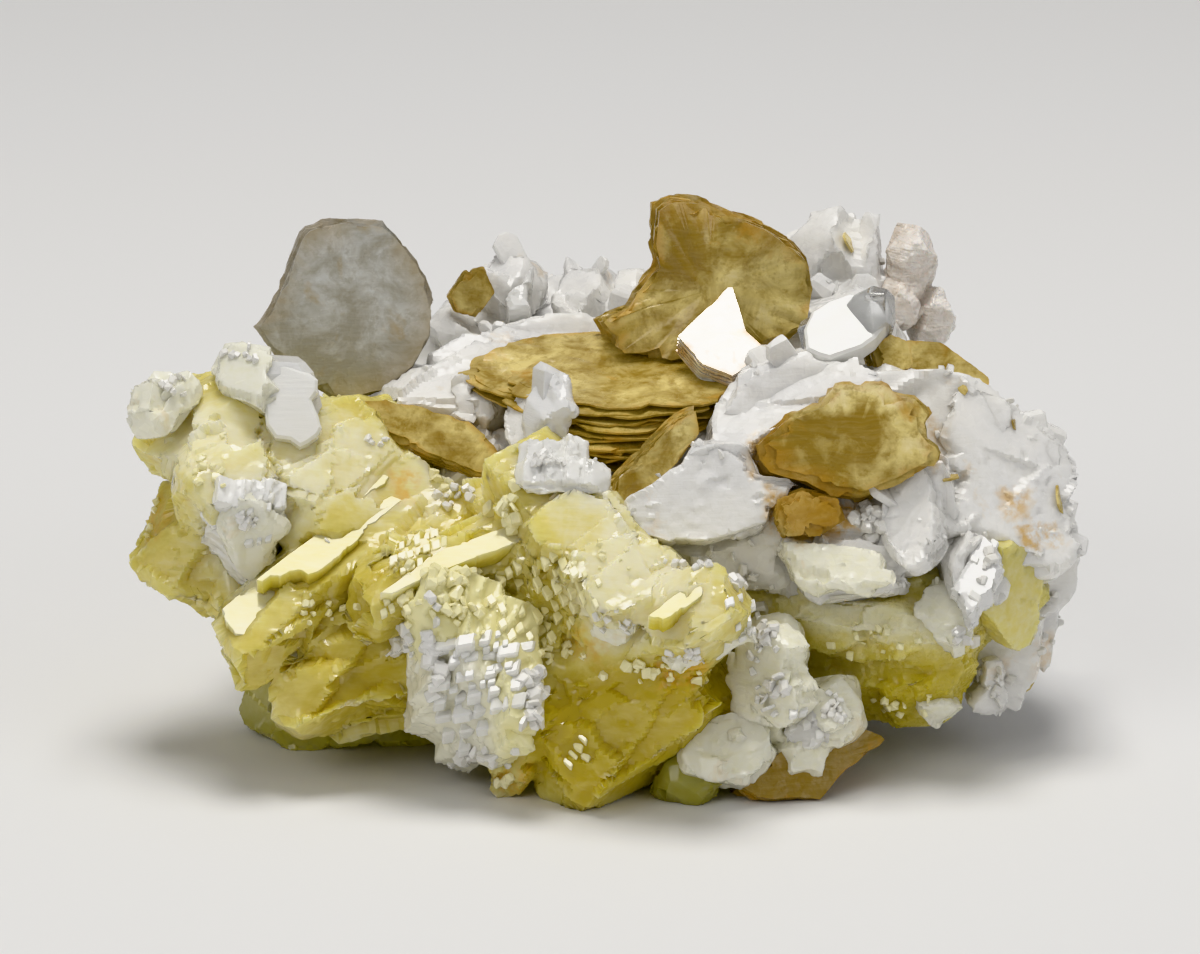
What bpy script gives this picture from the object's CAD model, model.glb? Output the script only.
"""Looks of a hand specimen: brazilianite crystals with muscovite books and sugary albite.

Shapes are made in millimetres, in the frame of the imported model, and every finished piece is brought to
metres when it is handed in. Places on the show side are given in picture points, and each is carried along
the camera's ray to the surface that it sits on.
"""

import sys

import logging
import math
import random
from collections.abc import Callable
from dataclasses import dataclass, field
from enum import Enum

import bmesh
import bpy
import numpy as np
from mathutils import Matrix, Vector, noise
from mathutils.bvhtree import BVHTree
from mathutils.kdtree import KDTree


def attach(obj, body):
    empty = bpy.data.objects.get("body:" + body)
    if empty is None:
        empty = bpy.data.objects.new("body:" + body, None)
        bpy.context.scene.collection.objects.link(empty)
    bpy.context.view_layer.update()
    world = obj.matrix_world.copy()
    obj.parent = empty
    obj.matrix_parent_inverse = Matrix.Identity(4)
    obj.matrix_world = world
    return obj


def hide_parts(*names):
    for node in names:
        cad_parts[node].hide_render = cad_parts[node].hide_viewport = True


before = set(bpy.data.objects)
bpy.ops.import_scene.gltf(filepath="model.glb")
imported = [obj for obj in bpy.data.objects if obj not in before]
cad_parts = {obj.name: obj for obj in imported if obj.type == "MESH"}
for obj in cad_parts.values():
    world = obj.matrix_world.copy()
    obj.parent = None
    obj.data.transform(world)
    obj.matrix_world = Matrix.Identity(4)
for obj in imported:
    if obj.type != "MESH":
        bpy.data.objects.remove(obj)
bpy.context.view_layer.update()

Piece = bpy.types.Object
Socket = bpy.types.NodeSocket
Place = tuple[float, float]
Outline = tuple[Place, ...]
Triple = tuple[float, float, float]
Colour = Triple
Copies = list[tuple[Piece, Matrix]]

log = logging.getLogger("specimen")

# seed of the noise vectors, which would follow the clock without one
NOISE_SEED = 7

# metres in a millimetre, the camera's tilt, and the depth and middle that places are measured from
MM = 0.001
SHOW_TILT = math.radians(18.0)
FRONT = -18.0
MIDDLE = Vector((0.6, 0.6, 0.0))

# ways in the specimen: along its width, up its front slope, along the long crystals, out of a calm white
# face, and out of a face that throws the overhead lamp back at the camera
ACROSS = Vector((1.0, 0.0, 0.0))
UPSLOPE = Vector((0.0, 0.81, 0.59)).normalized()
LENGTHWISE = Vector((0.717, 0.563, 0.410))
CALM = Vector((0.05, -0.86, 0.5))
GLARE = Vector((0.0, -0.59, 0.81)).normalized()
TILTED = UPSLOPE * 1.14 + ACROSS * 0.72
CLEAVAGE = tuple(Vector(way).normalized() * side for side in (1, -1)
                 for way in ((0.05, -0.86, 0.50), (0.95, -0.25, 0.15), (-0.30, 0.45, 0.85), (-0.55, -0.60, 0.58)))

# degrees up to which cut faces and bent leaves are shaded smooth
CRISP = 24.0
SUPPLE = 30.0

# names of the masses that others sit on
YELLOW_MASS = "main_cluster_crystals"
RIGHT_MASS = "right_cluster_crystals"
WHITE_MASS = "albite_masses"


class Slot(Enum):
    """Material slots of the record."""

    BRAZILIANITE = "brazilianite"
    ALBITE = "albite"
    QUARTZ = "quartz"
    FELDSPAR = "feldspar"
    MUSCOVITE = "muscovite"


def ring(*numbers: float) -> Outline:
    """Returns an outline from its places, each given as two numbers in a row."""
    return tuple(zip(numbers[::2], numbers[1::2]))


def at(across: float, up: float, deep: float) -> Vector:
    """Returns the point in millimetres of a place on the show face."""
    height = (up - (deep - FRONT) * math.sin(SHOW_TILT)) / math.cos(SHOW_TILT)
    return Vector((across, deep, height)) - MIDDLE


class Bench:
    """Modelling tools, each used on one piece at a time."""

    @staticmethod
    def clear() -> None:
        """Leaves nothing selected."""
        if bpy.context.object and bpy.context.object.mode != "OBJECT":
            bpy.ops.object.mode_set(mode="OBJECT")
        bpy.ops.object.select_all(action="DESELECT")

    @staticmethod
    def take(piece: Piece) -> None:
        """Makes a piece the only selected one, and the active one.

        Args:
            piece: The piece.
        """
        Bench.clear()
        piece.select_set(True)
        bpy.context.view_layer.objects.active = piece

    @staticmethod
    def edit(piece: Piece) -> None:
        """Opens a piece in edit mode with all of it selected.

        Args:
            piece: The piece.
        """
        Bench.take(piece)
        bpy.ops.object.mode_set(mode="EDIT")
        bpy.ops.mesh.select_all(action="SELECT")

    @staticmethod
    def leave() -> None:
        """Goes back to object mode."""
        bpy.ops.object.mode_set(mode="OBJECT")

    @staticmethod
    def modify(piece: Piece, kind: str, **settings: object) -> None:
        """Adds a modifier and applies it.

        Args:
            piece: The piece that is changed.
            kind: Blender's name of the modifier.
            settings: Its settings.
        """
        Bench.take(piece)
        change = piece.modifiers.new(kind.title(), kind)
        for key, value in settings.items():
            setattr(change, key, value)
        bpy.ops.object.modifier_apply(modifier=change.name)

    @staticmethod
    def swell(piece: Piece, height: float) -> None:
        """Moves the whole surface out by a height in millimetres."""
        Bench.modify(piece, "DISPLACE", strength=height, mid_level=0.0)

    @staticmethod
    def solid(node: str, name: str) -> Piece:
        """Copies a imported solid, in millimetres, with its loose triangles merged.

        Args:
            node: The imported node.
            name: Name of the copy.

        Returns:
            The copy.
        """
        made = Bench.copy(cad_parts[node], name)
        made.data.name = name
        made.data.materials.clear()
        made.data.transform(Matrix.Scale(1 / MM, 4))
        Bench.edit(made)
        bpy.ops.mesh.remove_doubles(threshold=0.002)
        bpy.ops.mesh.dissolve_limited(angle_limit=math.radians(1.0))
        Bench.leave()
        return made

    @staticmethod
    def copy(piece: Piece, name: str) -> Piece:
        """Copies a piece with its own mesh.

        Args:
            piece: What is copied.
            name: Name of the copy.

        Returns:
            The copy.
        """
        made = bpy.data.objects.new(name, piece.data.copy())
        bpy.context.scene.collection.objects.link(made)
        return made

    @staticmethod
    def gather(name: str, copies: Copies) -> Piece:
        """Copies stock pieces to their places, each with its own mesh, and joins them.

        Args:
            name: Name of the joined piece.
            copies: Stock pieces with their moves.

        Returns:
            The joined piece.
        """
        shape = bmesh.new()
        for model, move in copies:
            mesh = model.data.copy()
            mesh.transform(move)
            if move.determinant() < 0:
                mesh.flip_normals()
            shape.from_mesh(mesh)
            bpy.data.meshes.remove(mesh)
        data = bpy.data.meshes.new(name)
        shape.to_mesh(data)
        shape.free()
        made = bpy.data.objects.new(name, data)
        bpy.context.scene.collection.objects.link(made)
        return made

    @staticmethod
    def join(name: str, pieces: list[Piece]) -> Piece:
        """Joins pieces to one.

        Args:
            name: Name of the joined piece.
            pieces: What is joined.

        Returns:
            The joined piece.
        """
        Bench.clear()
        for piece in pieces:
            piece.select_set(True)
        bpy.context.view_layer.objects.active = pieces[0]
        bpy.ops.object.join()
        pieces[0].name = pieces[0].data.name = name
        return pieces[0]

    @staticmethod
    def remove(pieces: list[Piece]) -> None:
        """Deletes helper pieces."""
        for piece in pieces:
            bpy.data.objects.remove(piece)

    @staticmethod
    def ground(piece: Piece) -> None:
        """Presses what lies below the ground up to it."""
        for vertex in piece.data.vertices:
            vertex.co.z = max(vertex.co.z, 0.0)

    @staticmethod
    def smooth(piece: Piece, angle: float = CRISP) -> None:
        """Shades a piece smooth up to an angle in degrees."""
        Bench.take(piece)
        bpy.ops.object.shade_smooth_by_angle(angle=math.radians(angle))


# ---- view


@dataclass(frozen=True)
class Sight:
    """The camera, and the rays through its picture, in millimetres."""

    aim: Vector = Vector((-0.6, -0.6, 15.4))
    distance: float = 450.0
    tilt: float = SHOW_TILT
    lens: float = 216.0
    film: float = 36.0
    picture: tuple[int, int] = (1200, 954)

    def forward(self) -> Vector:
        """Returns the direction that the camera looks in."""
        return Vector((0.0, math.cos(self.tilt), -math.sin(self.tilt)))

    def upward(self) -> Vector:
        """Returns the direction that is up in the picture."""
        return Vector((0.0, math.sin(self.tilt), math.cos(self.tilt)))

    def pitch(self) -> float:
        """Returns what a picture point measures at a distance of one."""
        return self.film / self.lens / self.picture[0]

    def eye(self) -> Vector:
        """Returns the camera's place."""
        return self.aim - self.forward() * self.distance

    def ray(self, place: Place) -> Vector:
        """Finds the direction through a picture point.

        Args:
            place: The picture point.

        Returns:
            The direction, one long.
        """
        right = (place[0] - self.picture[0] / 2) * self.pitch()
        above = (self.picture[1] / 2 - place[1]) * self.pitch()
        return (self.forward() + ACROSS * right + self.upward() * above).normalized()

    def on_plane(self, place: Place, point: Vector, normal: Vector) -> Vector:
        """Returns where the ray through a picture point meets a plane.

        Args:
            place: The picture point.
            point: A point of the plane.
            normal: The plane's normal.

        Returns:
            The meeting point.
        """
        ray = self.ray(place)
        return self.eye() + ray * ((point - self.eye()).dot(normal) / ray.dot(normal))

    def project(self, spots: np.ndarray) -> tuple[np.ndarray, np.ndarray]:
        """Finds where points stand in the picture.

        Args:
            spots: The points, one row each.

        Returns:
            Their picture points, and how far away they are.
        """
        apart = spots - np.array(self.eye())
        far = apart @ np.array(self.forward())
        up = np.array((0.0, math.sin(self.tilt), math.cos(self.tilt)))
        across = apart[:, 0] / far / self.pitch() + self.picture[0] / 2
        down = self.picture[1] / 2 - apart @ up / far / self.pitch()
        return np.stack([across, down], 1), far

    def build(self) -> None:
        """Adds the camera to the scene."""
        data = bpy.data.cameras.new("camera")
        data.lens, data.sensor_width = self.lens, self.film
        data.clip_start, data.clip_end = 0.01, 20.0
        made = bpy.data.objects.new("camera", data)
        bpy.context.scene.collection.objects.link(made)
        made.location = self.eye() * MM
        made.rotation_euler = self.forward().to_track_quat("-Z", "Y").to_euler()
        bpy.context.scene.camera = made


class Seats:
    """Finds where pieces sit on the surfaces made so far."""

    def __init__(self, sight: Sight) -> None:
        """Starts with no surface."""
        self.sight = sight
        self.trees: dict[str, BVHTree] = {}

    def add(self, piece: Piece) -> None:
        """Adds a piece's surface, in place of an earlier one of its name.

        Args:
            piece: The piece, in millimetres.
        """
        shape = bmesh.new()
        shape.from_mesh(piece.data)
        self.trees[piece.name] = BVHTree.FromBMesh(shape)
        shape.free()

    def find(self, place: Place, *names: str) -> tuple[Vector, Vector] | None:
        """Finds the nearest surface behind a picture point.

        Args:
            place: The picture point.
            names: The pieces that count, or none for all.

        Returns:
            The point and its normal, or None.
        """
        best = None
        for name, tree in self.trees.items():
            if names and name not in names:
                continue
            hit, normal, _, far = tree.ray_cast(self.sight.eye(), self.sight.ray(place))
            if hit is not None and (best is None or far < best[2]):
                best = (hit, normal, far)
        return best[:2] if best else None


# ---- finishes


class Graph:
    """Short ways to add nodes to a shader tree."""

    def __init__(self, tree: bpy.types.NodeTree) -> None:
        """Works on one tree."""
        self.tree = tree

    def add(self, kind: str, feeds: dict | None = None, **settings: object) -> bpy.types.Node:
        """Adds a node.

        Args:
            kind: Its type without the ShaderNode prefix.
            feeds: Input names or numbers with a socket or a value each.
            settings: Its settings.

        Returns:
            The node.
        """
        made = self.tree.nodes.new("ShaderNode" + kind)
        for key, value in settings.items():
            setattr(made, key, value)
        for key, value in (feeds or {}).items():
            if isinstance(value, Socket):
                self.tree.links.new(value, made.inputs[key])
            else:
                made.inputs[key].default_value = value
        return made

    def comb(self, vector: Socket, turn: Triple, stretch: Triple) -> Socket:
        """Returns a vector turned by radians and stretched."""
        return self.add("Mapping", {"Vector": vector, "Rotation": turn, "Scale": stretch}).outputs[0]

    def millimetres(self, turn: Triple = (0, 0, 0), stretch: Triple = (1, 1, 1)) -> Socket:
        """Returns object coordinates in millimetres, turned by degrees and stretched."""
        spot = self.add("TexCoord").outputs["Object"]
        return self.comb(spot, [math.radians(angle) for angle in turn], [share / MM for share in stretch])

    def cloud(self, vector: Socket, scale: float, detail: float = 3, rough: float = 0.55,
              warp: float = 0.0) -> Socket:
        """Returns fractal noise."""
        return self.add("TexNoise", {"Vector": vector, "Scale": scale, "Detail": detail, "Roughness": rough,
                                     "Distortion": warp}).outputs["Fac"]

    def remap(self, value: Socket, low: float, high: float, to_low: float = 0.0,
              to_high: float = 1.0) -> Socket:
        """Returns a value carried from one range to another, held at its ends."""
        return self.add("MapRange", {0: value, 1: low, 2: high, 3: to_low, 4: to_high}).outputs[0]

    def math(self, work: str, *values: object) -> Socket:
        """Returns the result of a sum."""
        return self.add("Math", dict(enumerate(values)), operation=work).outputs[0]

    def mix(self, share: Socket | float, first: Socket | Colour, second: Socket | Colour) -> Socket:
        """Mixes two colours.

        Args:
            share: Share of the second one.
            first: A socket or a colour.
            second: A socket or a colour.

        Returns:
            The mixed colour.
        """
        feeds = {0: share}
        for key, value in ((6, first), (7, second)):
            feeds[key] = value if isinstance(value, Socket) else (*value, 1.0)
        return self.add("Mix", feeds, data_type="RGBA").outputs[2]

    def tuned(self, value: Socket, middle: float, gain: float) -> Socket:
        """Returns a value's distance from its middle, times a gain."""
        return self.math("MULTIPLY", self.math("SUBTRACT", value, middle), gain)

    def attribute(self, name: str) -> Socket:
        """Returns a value that is kept at the piece's vertices, which is zero where there is none."""
        return self.add("Attribute", attribute_name=name).outputs["Fac"]

    def bump(self, height: Socket, distance: float) -> Socket:
        """Returns a normal bent by a height, whose full range is a distance in millimetres."""
        return self.add("Bump", {"Height": height, "Distance": distance * MM}).outputs[0]


class Effects:
    """Node groups that several finishes share."""

    @staticmethod
    def start(name: str, *outputs: str) -> tuple[Graph, Socket]:
        """Starts a group that reads a vector in millimetres.

        Args:
            name: Name of the group.
            outputs: Names of its outputs.

        Returns:
            The group's graph, and the vector that it reads.
        """
        tree = bpy.data.node_groups.new(name, "ShaderNodeTree")
        tree.interface.new_socket("Vector", in_out="INPUT", socket_type="NodeSocketVector")
        for output in outputs:
            tree.interface.new_socket(output, in_out="OUTPUT", socket_type="NodeSocketFloat")
        spot = tree.nodes.new("NodeGroupInput").outputs[0]
        tree.nodes.new("NodeGroupOutput")
        return Graph(tree), spot

    @staticmethod
    def close(graph: Graph, *values: Socket) -> None:
        """Links the values to the group's outputs."""
        for socket, value in zip(graph.tree.nodes["Group Output"].inputs, values):
            graph.tree.links.new(value, socket)

    @staticmethod
    def veils() -> None:
        """Makes milky veils, fibres that fan out, and fine grain inside a crystal."""
        g, spot = Effects.start("growth_veils", "Haze", "Fibre", "Grain")
        haze = g.remap(g.cloud(spot, 0.19, 4, 0.62, 0.5), 0.36, 0.62)
        turned = g.comb(spot, (0.5, 0.3, 0.9), (0.5, 3.2, 2.4))
        fibre = g.remap(g.cloud(turned, 0.9, 3, 0.6, 0.3), 0.38, 0.66)
        grain = g.remap(g.cloud(spot, 2.6, 2, 0.6), 0.3, 0.7)
        Effects.close(g, haze, fibre, grain)

    @staticmethod
    def steps() -> None:
        """Makes growth lines along the crystals with fine dimples between them, as one height."""
        g, spot = Effects.start("growth_lines", "Height")
        lines = g.cloud(g.comb(spot, (0.45, -0.30, -0.67), (0.25, 3.0, 3.0)), 1.0, 2, 0.6)
        Effects.close(g, g.math("ADD", g.math("MULTIPLY", lines, 0.6), g.cloud(spot, 1.1, 2, 0.5)))

    @staticmethod
    def sugar() -> None:
        """Makes grown-together grains as height, the tone of each grain, and broad clouds."""
        g, spot = Effects.start("sugar_grain", "Height", "Tone", "Cloud")
        fine = g.add("TexVoronoi", {"Vector": spot, "Scale": 1.7, "Randomness": 1.0}).outputs
        lines = g.cloud(g.comb(spot, (0.4, 0.9, 0.3), (0.4, 0.5, 4.5)), 0.9, 2, 0.6)
        tone = g.add("SeparateColor", {0: fine["Color"]}).outputs[0]
        height = g.math("ADD", g.math("MULTIPLY", lines, 0.5), g.cloud(spot, 1.5, 3, 0.5))
        Effects.close(g, height, tone, g.remap(g.cloud(spot, 0.16, 4, 0.6, 0.4), 0.38, 0.62))

    @staticmethod
    def stain() -> None:
        """Makes soft clouds of iron stain."""
        g, spot = Effects.start("iron_stain", "Cloud")
        Effects.close(g, g.remap(g.cloud(spot, 0.28, 4, 0.7, 0.3), 0.60, 0.72))

    @staticmethod
    def leaves() -> None:
        """Makes the unevenness, the mottle and the fine streaks of a book's leaves."""
        g, spot = Effects.start("book_leaves", "Height", "Mottle", "Streak")
        mottle = g.remap(g.cloud(spot, 0.42, 4, 0.66, 0.5), 0.36, 0.64)
        sway = g.add("TexNoise", {"Vector": spot, "Scale": 0.3}).outputs["Color"]
        bent = g.add("VectorMath", {0: spot, 1: sway}, operation="ADD").outputs[0]
        streak = g.remap(g.cloud(g.comb(bent, (0.0, 0.0, 0.25), (0.5, 1.6, 5.0)), 1.0, 3, 0.65), 0.42, 0.66)
        Effects.close(g, g.cloud(spot, 0.8, 3, 0.6), mottle, streak)

    @staticmethod
    def make() -> None:
        """Makes every group."""
        for group in (Effects.veils, Effects.steps, Effects.sugar, Effects.stain, Effects.leaves):
            group()


@dataclass(frozen=True)
class Finish:
    """What every finish shares: the shader's own even settings."""

    name: str
    settings: tuple[tuple[str, object], ...] = ()

    def start(self) -> tuple[Graph, bpy.types.Node]:
        """Starts the material.

        Returns:
            Its graph and its shader.
        """
        material = bpy.data.materials.new(self.name)
        material.use_nodes = True
        shader = material.node_tree.nodes["Principled BSDF"]
        for key, value in self.settings:
            shader.inputs[key].default_value = value
        return Graph(material.node_tree), shader

    def group(self, g: Graph, name: str, vector: Socket) -> bpy.types.NodeOutputs:
        """Adds a shared group.

        Args:
            g: The material's graph.
            name: Name of the group.
            vector: The vector that it reads.

        Returns:
            The group's outputs.
        """
        made = g.tree.nodes.new("ShaderNodeGroup")
        made.node_tree = bpy.data.node_groups[name]
        g.tree.links.new(vector, made.inputs[0])
        return made.outputs

    def link(self, g: Graph, shader: bpy.types.Node, body: Socket, rough: Socket, height: Socket,
             relief: float) -> bpy.types.Material:
        """Links what varies over the surface to the shader.

        Args:
            g: The material's graph.
            shader: Its shader.
            body: The colour.
            rough: The roughness.
            height: The height of the fine relief.
            relief: The relief's depth in millimetres.

        Returns:
            The material.
        """
        for key, socket in (("Base Color", body), ("Roughness", rough), ("Normal", g.bump(height, relief))):
            g.tree.links.new(socket, shader.inputs[key])
        return bpy.data.materials[self.name]


@dataclass(frozen=True)
class Brazilianite(Finish):
    """Hazy yellow-green crystal with growth lines, veils and etched ground."""

    deep: Colour = (0.53, 0.41, 0.05)
    clear: Colour = (0.74, 0.645, 0.23)
    milk: Colour = (0.85, 0.805, 0.56)
    rust: Colour = (0.74, 0.42, 0.07)
    gloss: float = 0.07
    matt: float = 0.27
    relief: float = 0.03
    base: float = 0.0
    haze: float = 0.65
    fibre: float = 0.22

    def build(self) -> bpy.types.Material:
        """Builds the finish: deep, clear and milky yellow by the haze's level, with rust painted over.

        Returns:
            The material.
        """
        g, shader = self.start()
        spot = g.millimetres()
        veil = self.group(g, "growth_veils", spot)
        painted = g.math("ADD", g.attribute("milk"), self.base)
        level = g.math("ADD", painted, g.tuned(veil["Haze"], 0.45, self.haze))
        level = g.math("ADD", level, g.tuned(veil["Fibre"], 0.5, self.fibre))
        body = g.mix(g.remap(level, -0.75, 0.1), self.deep, self.clear)
        body = g.mix(g.remap(level, 0.1, 0.95), body, self.milk)
        rust = g.math("MULTIPLY", g.attribute("rust"), g.remap(g.cloud(spot, 1.1, 2, 0.7), 0.38, 0.6))
        body = g.mix(rust, body, self.rust)
        rough = g.remap(veil["Grain"], 0.2, 0.9, self.gloss, self.matt)
        return self.link(g, shader, body, rough, self.group(g, "growth_lines", spot)["Height"], self.relief)


@dataclass(frozen=True)
class Albite(Finish):
    """Sugary white feldspar, a little see-through, with warm and cool clouds and iron stain."""

    cool: Colour = (0.72, 0.715, 0.705)
    warm: Colour = (0.83, 0.815, 0.77)
    frost: Colour = (0.88, 0.875, 0.86)
    straw: Colour = (0.86, 0.81, 0.46)
    stained: Colour = (0.66, 0.42, 0.12)
    frosting: float = 0.35
    stain: float = 0.3
    gloss: float = 0.17
    spread: float = 0.2
    relief: float = 0.05

    def build(self) -> bpy.types.Material:
        """Builds the finish: cool and warm clouds, frost on the heights, then straw and iron stain.

        Returns:
            The material.
        """
        g, shader = self.start()
        spot = g.millimetres()
        sugar = self.group(g, "sugar_grain", spot)
        stain = self.group(g, "iron_stain", spot)
        body = g.mix(sugar["Cloud"], self.cool, self.warm)
        body = g.mix(g.math("MULTIPLY", g.remap(sugar["Height"], 0.45, 0.8), self.frosting), body, self.frost)
        body = g.mix(g.attribute("straw"), body, self.straw)
        painted = g.math("MULTIPLY", g.attribute("rust"), g.remap(g.cloud(spot, 0.9, 3, 0.7), 0.36, 0.56))
        rust = g.math("MAXIMUM", g.math("MULTIPLY", stain["Cloud"], self.stain), painted)
        body = g.mix(rust, body, self.stained)
        rough = g.remap(sugar["Tone"], 0.0, 1.0, self.gloss, self.gloss + self.spread)
        return self.link(g, shader, body, rough, sugar["Height"], self.relief)


@dataclass(frozen=True)
class Muscovite(Finish):
    """Brown mica: thin glassy leaves with mottled faces, fine streaks and rusty edges."""

    dark: Colour = (0.31, 0.205, 0.04)
    light: Colour = (0.73, 0.60, 0.24)
    pale: Colour = (0.90, 0.79, 0.46)
    rust: Colour = (0.52, 0.27, 0.04)
    gloss: float = 0.14
    spread: float = 0.22
    relief: float = 0.08

    def build(self) -> bpy.types.Material:
        """Builds the finish: dark to pale by mottle and gold, with streaks, spots and rusty rims.

        Returns:
            The material.
        """
        g, shader = self.start()
        spot = g.millimetres()
        leaf = self.group(g, "book_leaves", spot)
        stain = self.group(g, "iron_stain", spot)
        tone = g.math("ADD", g.math("MULTIPLY", leaf["Mottle"], 0.75), g.attribute("gold"))
        body = g.mix(g.remap(tone, 0.0, 0.75), self.dark, self.light)
        body = g.mix(g.remap(tone, 0.75, 1.5), body, self.pale)
        body = g.mix(g.math("MULTIPLY", leaf["Streak"], 0.10), body, self.pale)
        body = g.mix(g.math("MULTIPLY", g.remap(g.cloud(spot, 1.3, 3, 0.7), 0.52, 0.66), 0.55), body, self.dark)
        edge = g.remap(g.math("ADD", g.attribute("rim"), g.tuned(leaf["Mottle"], 1.0, 0.3)), 0.78, 1.0)
        stained = g.math("MAXIMUM", g.math("MAXIMUM", stain["Cloud"], edge), g.attribute("rust"))
        body = g.mix(g.math("MULTIPLY", stained, 0.6), body, self.rust)
        rough = g.remap(leaf["Height"], 0.3, 0.7, self.gloss, self.gloss + self.spread)
        height = g.math("ADD", leaf["Height"], g.math("MULTIPLY", leaf["Streak"], 0.06))
        return self.link(g, shader, body, rough, height, self.relief)


@dataclass(frozen=True)
class Clear(Finish):
    """Clear crystal with faint veils and hairline steps on its faces."""

    tint: Colour = (0.95, 0.96, 0.97)
    veil: Colour = (0.80, 0.81, 0.83)
    turn: Triple = (0, 0, 0)
    relief: float = 0.05
    stairs: float = 12.0
    gloss: float = 0.04
    matt: float = 0.16

    def build(self) -> bpy.types.Material:
        """Builds the finish: a veiled tint, and a noise cut into stairs for the hairlines.

        Returns:
            The material.
        """
        g, shader = self.start()
        line = g.cloud(g.millimetres(self.turn, (0.4, 0.4, 5.0)), 0.9, 3, 0.5)
        veil = self.group(g, "growth_veils", g.millimetres())
        body = g.mix(veil["Haze"], self.tint, self.veil)
        height = g.math("DIVIDE", g.math("FLOOR", g.math("MULTIPLY", line, self.stairs)), self.stairs)
        rough = g.remap(veil["Grain"], 0.0, 1.0, self.gloss, self.matt)
        return self.link(g, shader, body, rough, height, self.relief)


def translucent(weight: float, radius: Colour, scale: float, transmission: float,
                ior: float) -> tuple[tuple[str, object], ...]:
    """Lists the even shader settings of a see-through mineral.

    Args:
        weight: Share of light scattered inside.
        radius: How far red, green and blue spread, as shares.
        scale: Their scale in millimetres.
        transmission: Share of light let through.
        ior: Index of refraction.

    Returns:
        The settings as pairs.
    """
    return (("Subsurface Weight", weight), ("Subsurface Radius", radius), ("Subsurface Scale", scale * MM),
            ("Transmission Weight", transmission), ("IOR", ior))


class Finishes:
    """All the finishes of the specimen, made once."""

    def __init__(self) -> None:
        """Builds the groups and the materials."""
        Effects.make()
        white = (1.0, 1.0, 1.0)
        glow = translucent(0.6, (1.0, 0.93, 0.45), 3.0, 0.0, 1.60)
        pale_glare = (("Specular IOR Level", 0.55), ("Specular Tint", (1.0, 0.93, 0.62, 1.0)))
        self.mass = Brazilianite("brazilianite_mass", glow).build()
        self.window = Brazilianite(
            "brazilianite_window", translucent(0.4, (1.0, 0.9, 0.3), 3.0, 0.5, 1.60), deep=(0.66, 0.60, 0.12),
            clear=(0.80, 0.75, 0.28), gloss=0.05, matt=0.2, base=-0.3).build()
        self.facet = Brazilianite("brazilianite_facet", glow + pale_glare, base=0.25, gloss=0.10, matt=0.22,
                                  relief=0.012).build()
        self.yellow_crumb = Brazilianite(
            "brazilianite_crumb", (("IOR", 1.60),), deep=(0.82, 0.75, 0.36), clear=(0.90, 0.85, 0.52), base=0.2,
            gloss=0.05, matt=0.2, relief=0.005).build()
        self.fibrous = Brazilianite("brazilianite_fibrous", glow, deep=(0.54, 0.44, 0.06), gloss=0.2,
                                    matt=0.4).build()
        self.albite = Albite("albite_white", translucent(0.4, white, 1.5, 0.0, 1.53)).build()
        self.sugar = Albite("albite_sugar", translucent(0.4, white, 1.3, 0.0, 1.53), cool=(0.78, 0.78, 0.76),
                            warm=(0.84, 0.83, 0.78), stain=0.05, gloss=0.06, relief=0.015).build()
        self.white_crumb = Albite("albite_crumb", translucent(0.0, white, 1.0, 0.1, 1.53), cool=(0.84, 0.83, 0.80),
                                  warm=(0.88, 0.86, 0.80), stain=0.0, gloss=0.05, relief=0.005).build()
        self.straw = Albite("albite_straw", translucent(0.4, (1.0, 1.0, 0.8), 1.4, 0.0, 1.53),
                            cool=(0.80, 0.78, 0.58), warm=(0.87, 0.84, 0.64)).build()
        self.grey = Albite("albite_grey", translucent(0.4, (1.0, 1.0, 0.95), 1.4, 0.0, 1.53),
                           cool=(0.78, 0.77, 0.62), warm=(0.83, 0.81, 0.62), gloss=0.1, relief=0.02).build()
        sheet = translucent(0.0, (1.0, 0.8, 0.4), 1.5, 0.0, 1.58)
        self.mica = Muscovite("muscovite_brown", sheet).build()
        self.mica_grey = Muscovite("muscovite_grey", sheet, dark=(0.38, 0.36, 0.30), light=(0.63, 0.64, 0.63),
                                   pale=(0.78, 0.80, 0.82), rust=(0.44, 0.33, 0.16)).build()
        self.mica_bright = Muscovite("muscovite_bright", (("Metallic", 0.55),), dark=(0.90, 0.89, 0.85),
                                     light=(0.97, 0.96, 0.94), gloss=0.2, relief=0.015).build()
        self.quartz = Clear("quartz_clear", translucent(0.0, white, 1.0, 0.92, 1.55)).build()
        self.glassy = Clear("albite_glassy", translucent(0.3, white, 1.0, 0.2, 1.53), tint=(0.93, 0.93, 0.93),
                            veil=(0.88, 0.88, 0.86), turn=(12, 20, 0)).build()
        self.striated = Clear("albite_striated", translucent(0.2, white, 1.0, 0.1, 1.53), tint=(0.93, 0.93, 0.91),
                              veil=(0.90, 0.89, 0.84), turn=(40, 0, 8), relief=0.03).build()
        self.knob = Albite("feldspar_knob", translucent(0.3, (1.0, 0.8, 0.6), 1.0, 0.0, 1.53),
                           cool=(0.62, 0.52, 0.42), warm=(0.86, 0.80, 0.74), stained=(0.22, 0.14, 0.05),
                           stain=0.9, relief=0.3).build()


# ---- crystals


def shake(chance: random.Random, reach: float) -> Vector:
    """Returns a random move of up to so much each way."""
    return Vector([chance.uniform(-reach, reach) for _ in range(3)])


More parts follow.
